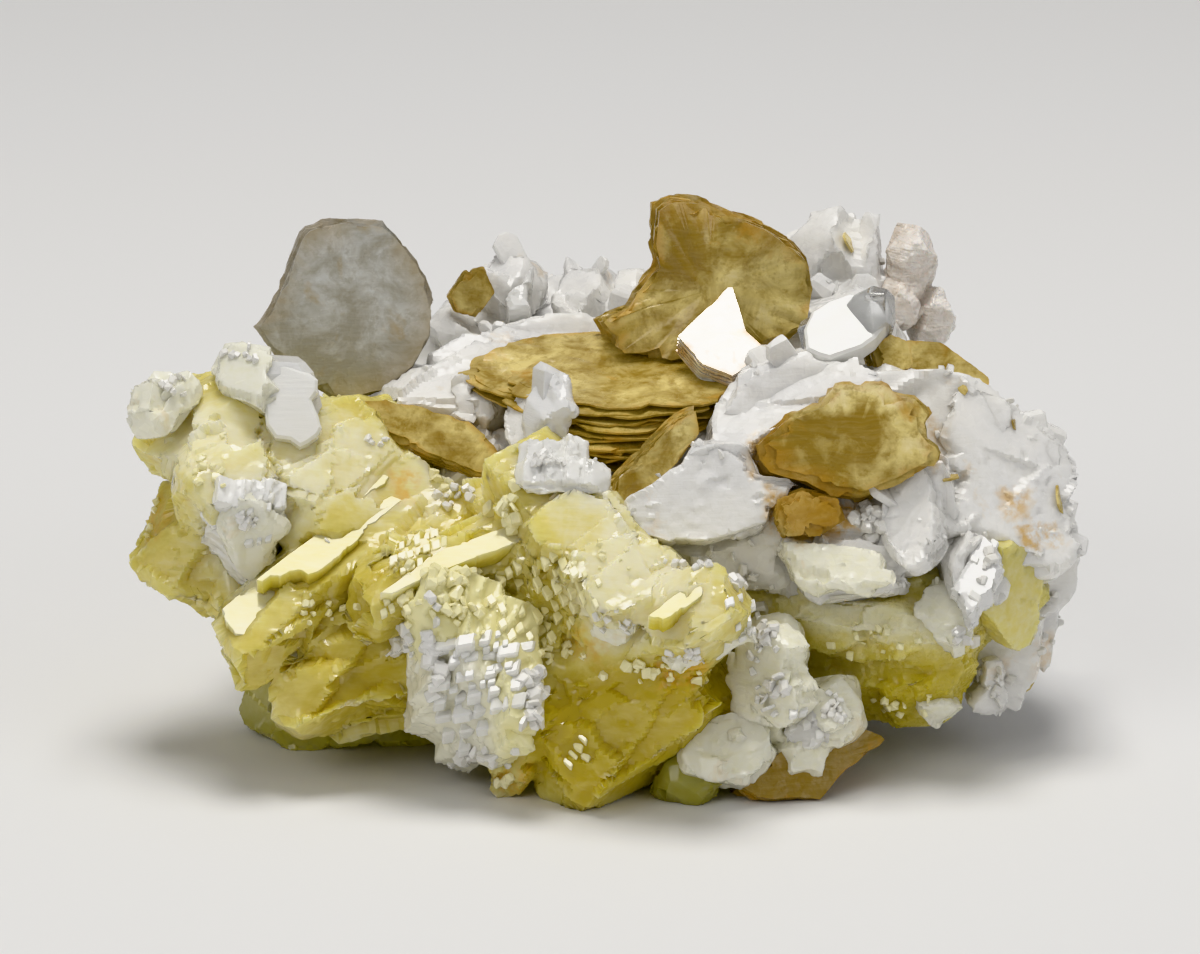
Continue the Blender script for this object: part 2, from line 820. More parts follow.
class Stock:
    """Small crystals that are modelled once and copied."""

    variety: tuple[float, float] = (0.8, 1.25)
    bevel: float = 0.14

    def __init__(self) -> None:
        """Models each kind."""
        self.blocks = [self.crystal("block", (1.0, 0.8, 0.9), cuts) for cuts in (
            (((0.6, 0.2, 0.75), 0.42), ((-0.7, 0.3, 0.6), 0.48)),
            (((0.5, -0.6, 0.6), 0.46), ((-0.2, 0.7, 0.6), 0.44)),
            (((0.9, 0.3, 0.2), 0.44), ((0.1, -0.5, 0.85), 0.46)))]
        self.blades = [self.crystal("blade", (0.9, 0.26, 1.5), cuts) for cuts in (
            (((0.7, 0.1, 0.7), 0.62), ((-0.6, 0.1, 0.8), 0.66)),
            (((0.85, 0.0, 0.5), 0.55), ((-0.3, 0.4, 0.85), 0.64)))]
        self.tiles = [self.crystal("tile", (1.0, 1.0, 1.0), cuts) for cuts in (
            (), (((0.8, 0.5, 0.6), 0.74),), (((-0.7, 0.6, 0.5), 0.72), ((0.2, -0.8, 0.6), 0.7)))]
        self.flakes = [self.crystal("flake", (1.1, 0.9, 0.14), cuts) for cuts in (
            (((0.87, 0.5, 0.0), 0.46), ((-0.8, 0.6, 0.0), 0.44), ((0.7, -0.7, 0.0), 0.45)),
            (((-0.87, 0.5, 0.0), 0.42), ((0.6, 0.8, 0.0), 0.44), ((-0.6, -0.8, 0.0), 0.47)))]

    def crystal(self, name: str, size: Triple, cuts: tuple[tuple[Triple, float], ...]) -> Piece:
        """Models one crystal: a bevelled bar whose end is cut by slanted faces.

        Args:
            name: Its name.
            size: Its width, depth and length.
            cuts: Normal and distance of each cut.

        Returns:
            The crystal, standing on the origin.
        """
        bpy.ops.mesh.primitive_cube_add(size=1.0, location=(0, 0, 0))
        made = bpy.context.object
        made.name = name
        Bench.edit(made)
        bpy.ops.transform.resize(value=size)
        bpy.ops.mesh.bevel(offset=min(size) * self.bevel, segments=1, affect="EDGES")
        for normal, distance in cuts:
            bpy.ops.mesh.select_all(action="SELECT")
            way = Vector(normal).normalized()
            bpy.ops.mesh.bisect(plane_co=way * distance, plane_no=way, use_fill=True, clear_outer=True)
        bpy.ops.mesh.select_all(action="SELECT")
        bpy.ops.mesh.dissolve_limited(angle_limit=math.radians(2))
        bpy.ops.mesh.select_all(action="SELECT")
        bpy.ops.mesh.normals_make_consistent(inside=False)
        Bench.leave()
        return made

    def put(self, kind: list[Piece], point: Vector, along: Vector, size: float, chance: random.Random,
            side: Vector | None = None, sink: float = 0.25) -> tuple[Piece, Matrix]:
        """Chooses a crystal for a place.

        Args:
            kind: The stock to pick from.
            point: Where it grows out, in millimetres.
            along: The way its length points.
            size: Its scale.
            chance: Source of its variety.
            side: The way its width points, or None for any.
            sink: Share of its length below the point.

        Returns:
            The stock crystal and its move.
        """
        along = along.normalized()
        side = shake(chance, 1.0) if side is None else side
        side = (side - along * side.dot(along)).normalized()
        turn = Matrix((side, along.cross(side), along)).transposed().to_4x4()
        stretch = Matrix.Diagonal([size * chance.uniform(*self.variety) for _ in range(3)] + [1.0])
        model = chance.choice(kind)
        return model, Matrix.Translation(point + along * size * (0.5 - sink)) @ turn @ stretch

    def clear(self) -> None:
        """Deletes the models."""
        Bench.remove(self.blocks + self.blades + self.tiles + self.flakes)


def scatter(piece: Piece, count: int, chance: random.Random,
            keep: Callable[[Vector, Vector], bool]) -> list[tuple[Vector, Vector]]:
    """Picks places spread evenly over a surface.

    Args:
        piece: The piece, in millimetres.
        count: How many places are tried.
        chance: Source of the places.
        keep: Test of a point and its normal.

    Returns:
        Points with their normals.
    """
    faces = piece.data.polygons
    picked = chance.choices(range(len(faces)), weights=[face.area for face in faces], k=count)
    places = [(faces[index].center.copy(), faces[index].normal.copy()) for index in picked]
    return [place for place in places if keep(*place)]


def surface_of(piece: Piece) -> tuple[np.ndarray, np.ndarray]:
    """Reads a piece's surface.

    Args:
        piece: The piece.

    Returns:
        Its vertices and their normals, one row each.
    """
    found = []
    for source, key in ((piece.data.vertices, "co"), (piece.data.vertex_normals, "vector")):
        rows = np.empty(len(source) * 3)
        source.foreach_get(key, rows)
        found.append(rows.reshape(-1, 3))
    return found[0], found[1]


def patches(piece: Piece, scale: float, seed: int, low: float, high: float) -> np.ndarray:
    """Spreads soft-edged random patches over a surface.

    Args:
        piece: The piece, in millimetres.
        scale: Patches to a millimetre.
        seed: Steers their places.
        low: Noise at which a patch begins.
        high: Noise from which it is full.

    Returns:
        A share for each vertex.
    """
    drift = Vector((seed * 3.1, 0, 0))
    height = np.array([noise.fractal(vertex.co * scale + drift, 0.8, 2.0, 4) for vertex in piece.data.vertices])
    return ((height - low) / (high - low)).clip(0, 1)


def crystal_faces(axis: Vector, first: Vector) -> tuple[Vector, ...]:
    """Lists the ways that a prism's faces look.

    Args:
        axis: Its length, one long.
        first: The way that one of its sides looks.

    Returns:
        Six ways around its axis and two at each end.
    """
    around = [Matrix.Rotation(math.radians(60 * turn), 3, axis) @ first for turn in range(6)]
    ends = [(axis * side * 0.8 + first * tilt).normalized() for side in (-1, 1) for tilt in (-0.6, 0.6)]
    return tuple(around + ends)


def centre_of(outline: Outline) -> Place:
    """Returns the mean of an outline's places."""
    return tuple(sum(place[side] for place in outline) / len(outline) for side in range(2))


def distance_inside(outline: Outline, places: np.ndarray) -> np.ndarray:
    """Measures how far places lie inside an outline.

    Args:
        outline: The outline in picture points.
        places: The places, one row each.

    Returns:
        The distances in picture points, less than zero outside.
    """
    ends = np.array(outline)
    nearest = np.full(len(places), np.inf)
    inside = np.zeros(len(places), bool)
    for start, end in zip(ends, np.roll(ends, -1, axis=0)):
        run = end - start
        along = ((places - start) @ run / (run @ run)).clip(0, 1)
        nearest = np.minimum(nearest, np.hypot(*(places - start - along[:, None] * run).T))
        crosses = (start[1] > places[:, 1]) != (end[1] > places[:, 1])
        slope = run[0] / run[1] if run[1] else 0.0
        inside ^= crosses & (places[:, 0] < slope * (places[:, 1] - start[1]) + start[0])
    return np.where(inside, nearest, -nearest)


def within(outline: Outline, place: Place) -> bool:
    """Tells whether a place lies inside an outline.

    Args:
        outline: The outline in picture points.
        place: The picture point.

    Returns:
        Whether it does.
    """
    inside = False
    for index, (x0, y0) in enumerate(outline):
        x1, y1 = outline[index - 1]
        if (y0 > place[1]) != (y1 > place[1]) and place[0] < (x1 - x0) * (place[1] - y0) / (y1 - y0) + x0:
            inside = not inside
    return inside


@dataclass(frozen=True)
class Region:
    """Part of a surface that the camera sees, outlined in picture points."""

    outline: Outline
    soft: float = 0.0
    rough: float = 2.5
    reach: float = 8.0
    turned: float = 0.15

    def share(self, sight: Sight, piece: Piece) -> np.ndarray:
        """Finds how far each vertex of a piece belongs to the region.

        Args:
            sight: The camera.
            piece: The piece, in millimetres.

        Returns:
            A share for each vertex.
        """
        spots, normals = surface_of(piece)
        places, far = sight.project(spots)
        inside = distance_inside(self.outline, places)
        ahead = normals @ np.array(sight.forward()) < self.turned
        for index in np.flatnonzero((np.abs(inside) < self.rough * 3 + self.soft) & ahead):
            inside[index] += self.rough * noise.fractal(Vector(spots[index]) * 1.6, 0.7, 2.0, 3)
        share = (inside / self.soft + 0.5).clip(0, 1) if self.soft else (inside > 0).astype(float)
        share *= ahead
        if share.max() > 0:
            share *= far < np.percentile(far[share > 0], 10) + self.reach
        return share


@dataclass
class Facets:
    """Breaks a finely meshed surface up into flat crystal faces with steps between them.

    Every cell of the surface is pressed onto one plane and moved in or out a little, which no single
    operator does.
    """

    spacing: float
    flatten: float = 0.9
    step: float = 0.0
    axis: Vector = field(default_factory=LENGTHWISE.copy)
    length: float = 1.0
    toward: tuple[Vector, ...] = ()
    snap: float = 0.7
    jitter: float = 0.0
    apart: float = 0.8
    limit: float = 0.3
    within: float = 0.72
    seed: int = 1

    def cut(self, piece: Piece, mask: np.ndarray | None = None) -> None:
        """Cuts the faces.

        Args:
            piece: The piece, in millimetres.
            mask: Share of the change at each vertex, or None for all of it.
        """
        spots, normals = surface_of(piece)
        share = np.ones(len(spots)) if mask is None else mask
        chosen = np.flatnonzero(share > 0.02)
        if len(chosen) < 12:
            return
        area = sum(face.area for face in piece.data.polygons) * len(chosen) / len(spots)
        cells = min(len(chosen), max(1, round(area / (self.spacing ** 2 * self.length))))
        here, looks = spots[chosen], normals[chosen]
        axis = np.array(self.axis.normalized())
        measured = here + looks * self.spacing * self.apart
        measured -= np.outer(measured @ axis, axis) * (1 - 1 / self.length)
        chance = np.random.default_rng(self.seed)
        picked = chance.choice(len(chosen), size=cells, replace=False)
        tree = KDTree(cells)
        for index, vertex in enumerate(picked):
            tree.insert(measured[vertex], index)
        tree.balance()
        cell = np.array([tree.find(spot)[1] for spot in measured])
        total = np.bincount(cell, minlength=cells).clip(1)[:, None]
        middle = np.stack([np.bincount(cell, here[:, side], cells) for side in range(3)], 1) / total
        facing = np.stack([np.bincount(cell, looks[:, side], cells) for side in range(3)], 1)
        facing /= np.linalg.norm(facing, axis=1, keepdims=True).clip(1e-9)
        if self.toward:
            ways = np.array(self.toward)
            best = ways[np.argmax(facing @ ways.T, axis=1)]
            near = (facing * best).sum(1) > self.within
            facing[near] = facing[near] * (1 - self.snap) + best[near] * self.snap
        facing += chance.normal(0, math.tan(math.radians(self.jitter)) + 1e-9, facing.shape)
        facing /= np.linalg.norm(facing, axis=1, keepdims=True).clip(1e-9)
        height = ((middle[cell] - here) * facing[cell]).sum(1) * self.flatten
        height += chance.uniform(-self.step, self.step, cells)[cell]
        height = np.clip(height, -self.limit * self.spacing, self.limit * self.spacing) * share[chosen]
        spots[chosen] += facing[cell] * height[:, None]
        piece.data.vertices.foreach_set("co", spots.ravel())
        piece.data.update()


def paint(piece: Piece, sight: Sight, tints: tuple[tuple[str, float, Region], ...]) -> None:
    """Keeps how milky, golden or rusty a piece is at each vertex.

    Args:
        piece: The piece, in millimetres.
        sight: The camera whose picture the regions are outlined in.
        tints: Attribute name, value and region of each tint.
    """
    values: dict[str, np.ndarray] = {}
    for name, value, region in tints:
        values[name] = values.get(name, 0.0) + value * region.share(sight, piece)
    for name, value in values.items():
        piece.data.attributes.new(name, "FLOAT", "POINT").data.foreach_set("value", value)


@dataclass
class Mass:
    """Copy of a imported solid, swollen a little, because cutting its faces takes some off."""

    node: str
    name: str
    voxel: float
    grow: float = 0.12
    plates: str = ""

    def build(self) -> Piece:
        """Builds the plain mass.

        Returns:
            The mass, in millimetres.
        """
        piece = Bench.solid(self.node, self.name)
        Bench.swell(piece, self.grow)
        return piece


@dataclass
class CrystalMass(Mass):
    """Grown-together crystals: crisp faces in step with one another, and finely etched ground."""

    grow: float = 0.14
    cell: float = 2.0
    step: float = 0.14
    flatten: float = 0.7
    axis: Vector = field(default_factory=LENGTHWISE.copy)
    first: Vector = field(default_factory=GLARE.copy)
    roll: float = 24.0
    beds: tuple[tuple[Region, Facets], ...] = ()
    tints: tuple[tuple[str, float, Region], ...] = ()
    seed: int = 1

    def dress(self, piece: Piece, sight: Sight) -> None:
        """Cuts the mass into broad crystal faces, then finer ones in patches and in its beds.

        Args:
            piece: The plain mass, with the plates that grow on it.
            sight: The camera whose picture the regions are outlined in.
        """
        Bench.modify(piece, "REMESH", mode="VOXEL", voxel_size=self.voxel)
        axis = self.axis.normalized()
        ways = crystal_faces(axis, Matrix.Rotation(math.radians(self.roll), 3, axis) @ self.first)
        broad = Facets(self.cell, self.flatten, self.step, self.axis, length=2.6, toward=ways, snap=0.75,
                       jitter=1.5, seed=self.seed)
        fine = Facets(self.cell * 0.4, 0.8, self.step * 0.45, self.axis, length=1.5, toward=ways, snap=0.6,
                      jitter=4.0, seed=self.seed + 1)
        broad.cut(piece)
        fine.cut(piece, patches(piece, 0.3, self.seed, low=0.0, high=0.12))
        for region, facets in self.beds:
            facets.cut(piece, region.share(sight, piece))
        paint(piece, sight, self.tints)
        Bench.smooth(piece)


def level_of(seats: Seats, outline: Outline, hosts: tuple[str, ...]) -> tuple[Vector, Vector] | None:
    """Finds the plane that lies best on the hosts behind an outline.

    Args:
        seats: Where things sit.
        outline: The outline in picture points.
        hosts: Pieces that count.

    Returns:
        A point and the normal, or None where nothing is met.
    """
    lows = [min(p[axis] for p in outline) for axis in range(2)]
    highs = [max(p[axis] for p in outline) for axis in range(2)]
    step = max(3.0, min(highs[0] - lows[0], highs[1] - lows[1]) / 7)
    spots = []
    for row in range(int((highs[1] - lows[1]) / step) + 1):
        for column in range(int((highs[0] - lows[0]) / step) + 1):
            place = (lows[0] + (column + 0.5) * step, lows[1] + (row + 0.5) * step)
            found = seats.find(place, *hosts) if within(outline, place) else None
            if found:
                spots.append(found[0])
    if len(spots) < 4:
        return None
    cloud = np.array(spots)
    middle = cloud.mean(axis=0)
    normal = Vector(np.linalg.svd(cloud - middle)[2][2])
    ahead = -seats.sight.forward()
    normal = normal if normal.dot(ahead) > 0 else -normal
    if normal.dot(ahead) < 0.6:
        normal = (normal + ahead * (0.9 - normal.dot(ahead))).normalized()
    return Vector(middle), normal


@dataclass
class Shard:
    """Crystal plate with a ragged rim, outlined in picture points, for a group that is welded to one piece."""

    outline: Outline
    finish: str = "albite"
    thick: float = 1.8
    lift: float = 0.5
    ragged: float = 0.22
    lean: Vector | None = None
    hosts: tuple[str, ...] = ()

    def build(self, seats: Seats, seed: int) -> Piece | None:
        """Builds the shard on what carries it.

        Args:
            seats: Where it sits.
            seed: Steers its rim.

        Returns:
            The shard in millimetres, or None where nothing carries it.
        """
        found = level_of(seats, self.outline, self.hosts)
        if not found:
            return None
        point, normal = found
        normal = self.lean.normalized() if self.lean else normal
        level = point + normal * self.lift
        corners = [seats.sight.on_plane(place, level, normal) for place in self.outline]
        return rim_plate(corners, normal, self.thick, self.ragged, seed, 0.2, 0.18)


@dataclass
class Weld:
    """Group of shards that are welded to one mass, with crisp rims and faintly uneven faces."""

    name: str
    voxel: float = 0.19
    broad: float = 2.8
    fine: float = 0.6
    jitter: float = 2.5
    seed: int = 1

    def build(self, pieces: list[Piece], sight: Sight) -> Piece:
        """Welds the pieces.

        Args:
            pieces: The shards, in millimetres.
            sight: The camera whose picture the tints are outlined in.

        Returns:
            The mass, in millimetres.
        """
        mass = Bench.join(self.name, pieces)
        Bench.modify(mass, "REMESH", mode="VOXEL", voxel_size=self.voxel)
        broad = Facets(self.broad, 1.0, 0.02, ACROSS, length=1.8, jitter=self.jitter, apart=2.0, limit=0.1,
                       seed=self.seed)
        fine = Facets(self.fine, 0.9, 0.04, ACROSS, length=1.3, jitter=self.jitter * 3, seed=self.seed + 1)
        broad.cut(mass)
        fine.cut(mass, patches(mass, 0.45, self.seed, low=0.16, high=0.22))
        Bench.modify(mass, "SMOOTH", factor=0.5, iterations=1)
        paint(mass, sight, WHITE_TINTS)
        Bench.smooth(mass)
        return mass


def along_outline(corners: list[Vector], step: float) -> list[Vector]:
    """Spaces points evenly along each side of a closed outline.

    Args:
        corners: The outline's corners.
        step: About how far apart the points are.

    Returns:
        The points.
    """
    points = []
    for corner, after in zip(corners, corners[1:] + corners[:1]):
        parts = max(1, round((after - corner).length / step))
        points += [corner.lerp(after, part / parts) for part in range(parts)]
    return points


def rim_plate(corners: list[Vector], normal: Vector, thick: float, ragged: float, seed: int, step: float,
              chamfer: float) -> Piece:
    """Models a flat plate with an eaten and bevelled rim.

    Args:
        corners: Its outline.
        normal: Its upper side's normal.
        thick: Its thickness.
        ragged: Depth of the bites.
        seed: Steers the bites.
        step: Spacing of its rim points.
        chamfer: Width of the bevel around its upper side.

    Returns:
        The plate.
    """
    points = along_outline(corners, step)
    middle = sum(points, Vector()) / len(points)
    bpy.ops.mesh.primitive_circle_add(vertices=len(points), radius=1.0, fill_type="NGON")
    made = bpy.context.object
    for vertex, point in zip(made.data.vertices, points):
        inward = (middle - point).normalized()
        bite = noise.fractal(point * 1.1 + Vector((seed * 7.3, 0, 0)), 0.6, 2.2, 4)
        vertex.co = point + inward * (max(0.0, bite) * 2.2 + 0.1) * ragged
    Bench.edit(made)
    bpy.ops.mesh.extrude_region_move(TRANSFORM_OT_translate={"value": -normal * thick})
    bpy.ops.mesh.select_all(action="DESELECT")
    Bench.leave()
    top = max(made.data.polygons, key=lambda face: (len(face.vertices) > 4, face.center.dot(normal)))
    top.select = True
    bpy.ops.object.mode_set(mode="EDIT")
    bpy.ops.mesh.select_mode(type="FACE")
    bpy.ops.mesh.inset(thickness=chamfer, depth=chamfer)
    bpy.ops.mesh.select_all(action="SELECT")
    bpy.ops.mesh.normals_make_consistent(inside=False)
    Bench.leave()
    return made


def glossy_faces(seats: Seats, outlines: tuple[Outline, ...], host: str) -> Piece:
    """Models the flat faces that throw the light from above back at the camera.

    Args:
        seats: Where things sit.
        outlines: The faces in picture points.
        host: The mass that carries them.

    Returns:
        The faces as one piece, in millimetres.
    """
    made = []
    for seed, outline in enumerate(outlines):
        spots = [found[0] for found in (seats.find(place, host) for place in outline) if found]
        heights = sorted(spot.dot(GLARE) for spot in spots)
        level = GLARE * (heights[len(heights) * 3 // 5] + 0.12)
        corners = [seats.sight.on_plane(place, level, GLARE) for place in outline]
        plate = rim_plate(corners, GLARE, 1.3, 0.12, seed, 0.18, 0.05)
        top = max(vertex.co.dot(GLARE) for vertex in plate.data.vertices)
        milk = plate.data.attributes.new("milk", "FLOAT", "POINT").data
        for vertex in plate.data.vertices:
            milk[vertex.index].value = 0.35 - 1.3 * min(1.0, (top - vertex.co.dot(GLARE)) / 0.5)
        made.append(plate)
    return Bench.join("glossy_layers", made)


# ---- albite


@dataclass
class Rock(Mass):
    """White feldspar mass: cleaved blocks, and sugary ground in patches."""

    cells: tuple[float, float] = (4.6, 1.4)
    step: float = 0.10
    toward: tuple[Vector, ...] = ()
    snap: float = 0.6
    jitter: float = 3.0
    axis: Vector = field(default_factory=ACROSS.copy)
    bare: float = 0.12
    tints: tuple[tuple[str, float, Region], ...] = ()
    soft: int = 2
    seed: int = 1

    def dress(self, piece: Piece, sight: Sight) -> None:
        """Cuts the mass into broad crystal faces, then finer ones in patches.

        Args:
            piece: The plain mass.
            sight: The camera whose picture the tints are outlined in.
        """
        Bench.modify(piece, "REMESH", mode="VOXEL", voxel_size=self.voxel)
        for order, cell in enumerate(self.cells):
            facets = Facets(cell, 0.95, self.step / (1 + order), self.axis, length=1.3, toward=self.toward,
                            snap=self.snap, jitter=self.jitter * (1 + order), apart=1.4, limit=0.14,
                            seed=self.seed + order)
            facets.cut(piece, patches(piece, 0.3, facets.seed, self.bare, self.bare + 0.12) if order else None)
        Bench.modify(piece, "SMOOTH", factor=0.5, iterations=self.soft)
        paint(piece, sight, self.tints)
        Bench.smooth(piece)


# ---- muscovite


class Disc:
    """Round sheet of rings and spokes that every mica leaf is shaped from."""

    rim: int = 64
    rings: int = 3

    def __init__(self) -> None:
        """Models the sheet."""
        bpy.ops.mesh.primitive_circle_add(vertices=self.rim, radius=1.0, fill_type="TRIFAN")
        self.sheet = bpy.context.object
        self.sheet.name = "leaf_stock"
        Bench.edit(self.sheet)
        bpy.ops.mesh.select_all(action="DESELECT")
        Bench.leave()
        for edge in self.sheet.data.edges:
            edge.select = min(self.sheet.data.vertices[end].co.length for end in edge.vertices) < 0.5
        bpy.ops.object.mode_set(mode="EDIT")
        bpy.ops.mesh.select_mode(type="EDGE")
        bpy.ops.mesh.subdivide(number_cuts=self.rings - 1)
        Bench.leave()

    def shape(self, outline: list[Vector], normal: Vector, relief: Callable[[Vector, float], float],
              thick: float) -> Piece:
        """Shapes a leaf, half of whose thickness lies on either side of its outline.

        Args:
            outline: As many points as the sheet's rim has.
            normal: Its upper side's normal.
            relief: Height over its plane, from a point and its share of the way to the rim.
            thick: Its thickness.

        Returns:
            The leaf.
        """
        made = Bench.copy(self.sheet, "leaf")
        middle = sum(outline, Vector()) / len(outline)
        rim = made.data.attributes.new("rim", "FLOAT", "POINT")
        for vertex in made.data.vertices:
            reach = vertex.co.length
            rim.data[vertex.index].value = reach
            turn = math.atan2(vertex.co.x, vertex.co.y) / (2 * math.pi) * self.rim
            low = math.floor(turn)
            edge = outline[low % self.rim].lerp(outline[(low + 1) % self.rim], turn - low)
            point = middle.lerp(edge, reach)
            vertex.co = point + normal * relief(point, reach)
        if sum((face.normal * face.area for face in made.data.polygons), Vector()).dot(normal) <= 0:
            made.data.flip_normals()
        Bench.modify(made, "SOLIDIFY", thickness=thick, offset=0.0)
        return made


def resampled(corners: list[Vector], count: int) -> list[Vector]:
    """Spaces so many points evenly along a closed outline.

    Args:
        corners: The outline's corners.
        count: How many points.

    Returns:
        The points.
    """
    sides = list(zip(corners, corners[1:] + corners[:1]))
    lengths = [(after - corner).length for corner, after in sides]
    points, index, passed = [], 0, 0.0
    for number in range(count):
        want = sum(lengths) * number / count
        while passed + lengths[index] < want:
            passed += lengths[index]
            index += 1
        points.append(sides[index][0].lerp(sides[index][1], (want - passed) / lengths[index]))
    return points


def eaten(point: Vector) -> float:
    """Returns how deep a leaf's rim is eaten at a point of the noise."""
    return max(0.0, noise.fractal(point, 0.7, 2.1, 4))


@dataclass
class MicaBook:
    """Stack of thin leaves with ragged rims, each a little apart from the next."""

    node: str
    outline: Outline
    deep: float
    thick: float
    per_across: float
    per_up: float
    leaves: int = 9
    ragged: float = 0.35
    wave: float = 0.25
    shrink: float = 0.10
    seed: int = 1
    skin: float = 0.06
    packed: float = 0.84

    def front(self, across: float, up: float) -> Vector:
        """Returns the point of the front plane at a place."""
        middle = centre_of(self.outline)
        return at(across, up, self.deep + self.per_across * (across - middle[0]) + self.per_up * (up - middle[1]))

    def facing(self) -> Vector:
        """Finds which way the book's front looks.

        Returns:
            The front plane's normal, towards the show side.
        """
        across, up = centre_of(self.outline)
        centre = self.front(across, up)
        normal = (self.front(across + 1, up) - centre).cross(self.front(across, up + 1) - centre)
        return normal.normalized() * (1 if normal.y < 0 else -1)

    def leaf(self, disc: Disc, edge: list[Vector], share: float, chance: random.Random) -> Piece:
        """Shapes one leaf.

        Args:
            disc: The sheet that it is shaped from.
            edge: The book's rim on its front plane.
            share: Its place in the stack, from 0 in front to 1.
            chance: Source of its variety.

        Returns:
            The leaf, in millimetres.
        """
        centre, normal = self.front(*centre_of(self.outline)), self.facing()
        scale = 1.0 - self.shrink * (1 - share) * chance.uniform(0.3, 1.3)
        slide = Vector((chance.uniform(-0.2, 0.2), 0, chance.uniform(-0.2, 0.2))) * self.ragged
        drift = Vector((chance.uniform(0, 50), 0, 0))
        rim = []
        for point in edge:
            bite = eaten(point * 0.55 + drift) * 1.8 + chance.uniform(0, 0.12)
            rim.append(centre + (point - centre) * scale + (centre - point).normalized() * bite * self.ragged)

        def relief(point: Vector, reach: float) -> float:
            """Returns the leaf's wave, which grows towards its rim."""
            calm = noise.noise(point * 0.28 + drift * 0.02) + 0.35 * noise.noise(point * 0.9 + drift)
            return self.wave * calm * (0.4 + 0.55 * reach)

        made = disc.shape(rim, normal, relief, self.thick / self.leaves * self.packed)
        back = self.skin + share * (self.thick - 2 * self.skin)
        made.data.transform(Matrix.Translation(-normal * back + slide))
        return made

    def build(self, disc: Disc) -> Piece:
        """Builds the book.

        Args:
            disc: The sheet that its leaves are shaped from.

        Returns:
            The book, in millimetres.
        """
        chance = random.Random(self.seed)
        edge = resampled([self.front(*place) for place in self.outline], disc.rim)
        shares = [number / (self.leaves - 1) for number in range(self.leaves)]
        book = Bench.join(self.node + "_leaves", [self.leaf(disc, edge, share, chance) for share in shares])
        Bench.smooth(book, SUPPLE)
        return book


@dataclass(frozen=True)
class Lens:
    """One bundle of the fan's leaves: its middle as a place, its size, and its turn and lean in degrees."""

    centre: Triple
    half_long: float
    half_deep: float
    turn: float
    lean: float
    thick: float = 1.8


@dataclass
class MicaFan:
    """Lens-shaped leaves lying almost flat, opened towards the front."""

    node: str
    lenses: tuple[Lens, ...]
    split: int = 7
    seed: int = 5
    blunt: float = 0.95
    slim: float = 1.45

    def leaf(self, disc: Disc, lens: Lens, share: float, chance: random.Random) -> Piece:
        """Shapes one leaf.

        Args:
            disc: The sheet that it is shaped from.
            lens: The bundle that it belongs to.
            share: Its place in the bundle, from -0.5 below to 0.5.
            chance: Source of its variety.

        Returns:
            The leaf, in millimetres.
        """
        tip = Matrix.Rotation(math.radians(lens.turn + chance.uniform(-9, 9)), 3, "Z")
        tip = tip @ Matrix.Rotation(math.radians(lens.lean - share * 9 + chance.uniform(-2.5, 2.5)), 3, "X")
        slide = Vector((chance.uniform(-0.5, 0.5), chance.uniform(-0.3, 0.3), share * lens.thick * 1.06))
        middle = at(*lens.centre) + slide
        bulge = 1.0 - 0.10 * abs(share) * 2 - chance.uniform(0.0, 0.12)
        drift = Vector((chance.uniform(0, 50), 0, 0))
        rim = []
        for step in range(disc.rim):
            angle = 2 * math.pi * step / disc.rim
            power = self.slim if math.cos(angle) < 0 else self.blunt
            side = math.copysign(abs(math.sin(angle)) ** power, math.sin(angle))
            local = Vector((math.cos(angle) * lens.half_long, side * lens.half_deep, 0.0)) * bulge
            bite = eaten(local * 0.6 + drift) * 1.3
            rim.append(middle + tip @ (local * (1 - bite / lens.half_long)))

        def relief(point: Vector, reach: float) -> float:
            """Returns the leaf's wave and its droop to the rim."""
            folds = noise.noise(Vector((point.x * 0.4, point.y * 1.6, 7)))
            return 0.30 * (noise.noise(point * 0.3 + drift) + 0.3 * folds) - 0.3 * reach * reach * share

        return disc.shape(rim, tip @ Vector((0, 0, 1)), relief, lens.thick / self.split * 0.5)

    def build(self, disc: Disc) -> Piece:
        """Builds the fan.

        Args:
            disc: The sheet that its leaves are shaped from.

        Returns:
            The fan, in millimetres.
        """
        chance = random.Random(self.seed)
        shares = [(part + 0.5) / self.split - 0.5 for part in range(self.split)]
        fan = Bench.join(self.node + "_leaves", [self.leaf(disc, lens, share, chance)
                                                 for lens in self.lenses for share in shares])
        Bench.smooth(fan, SUPPLE)
        return fan


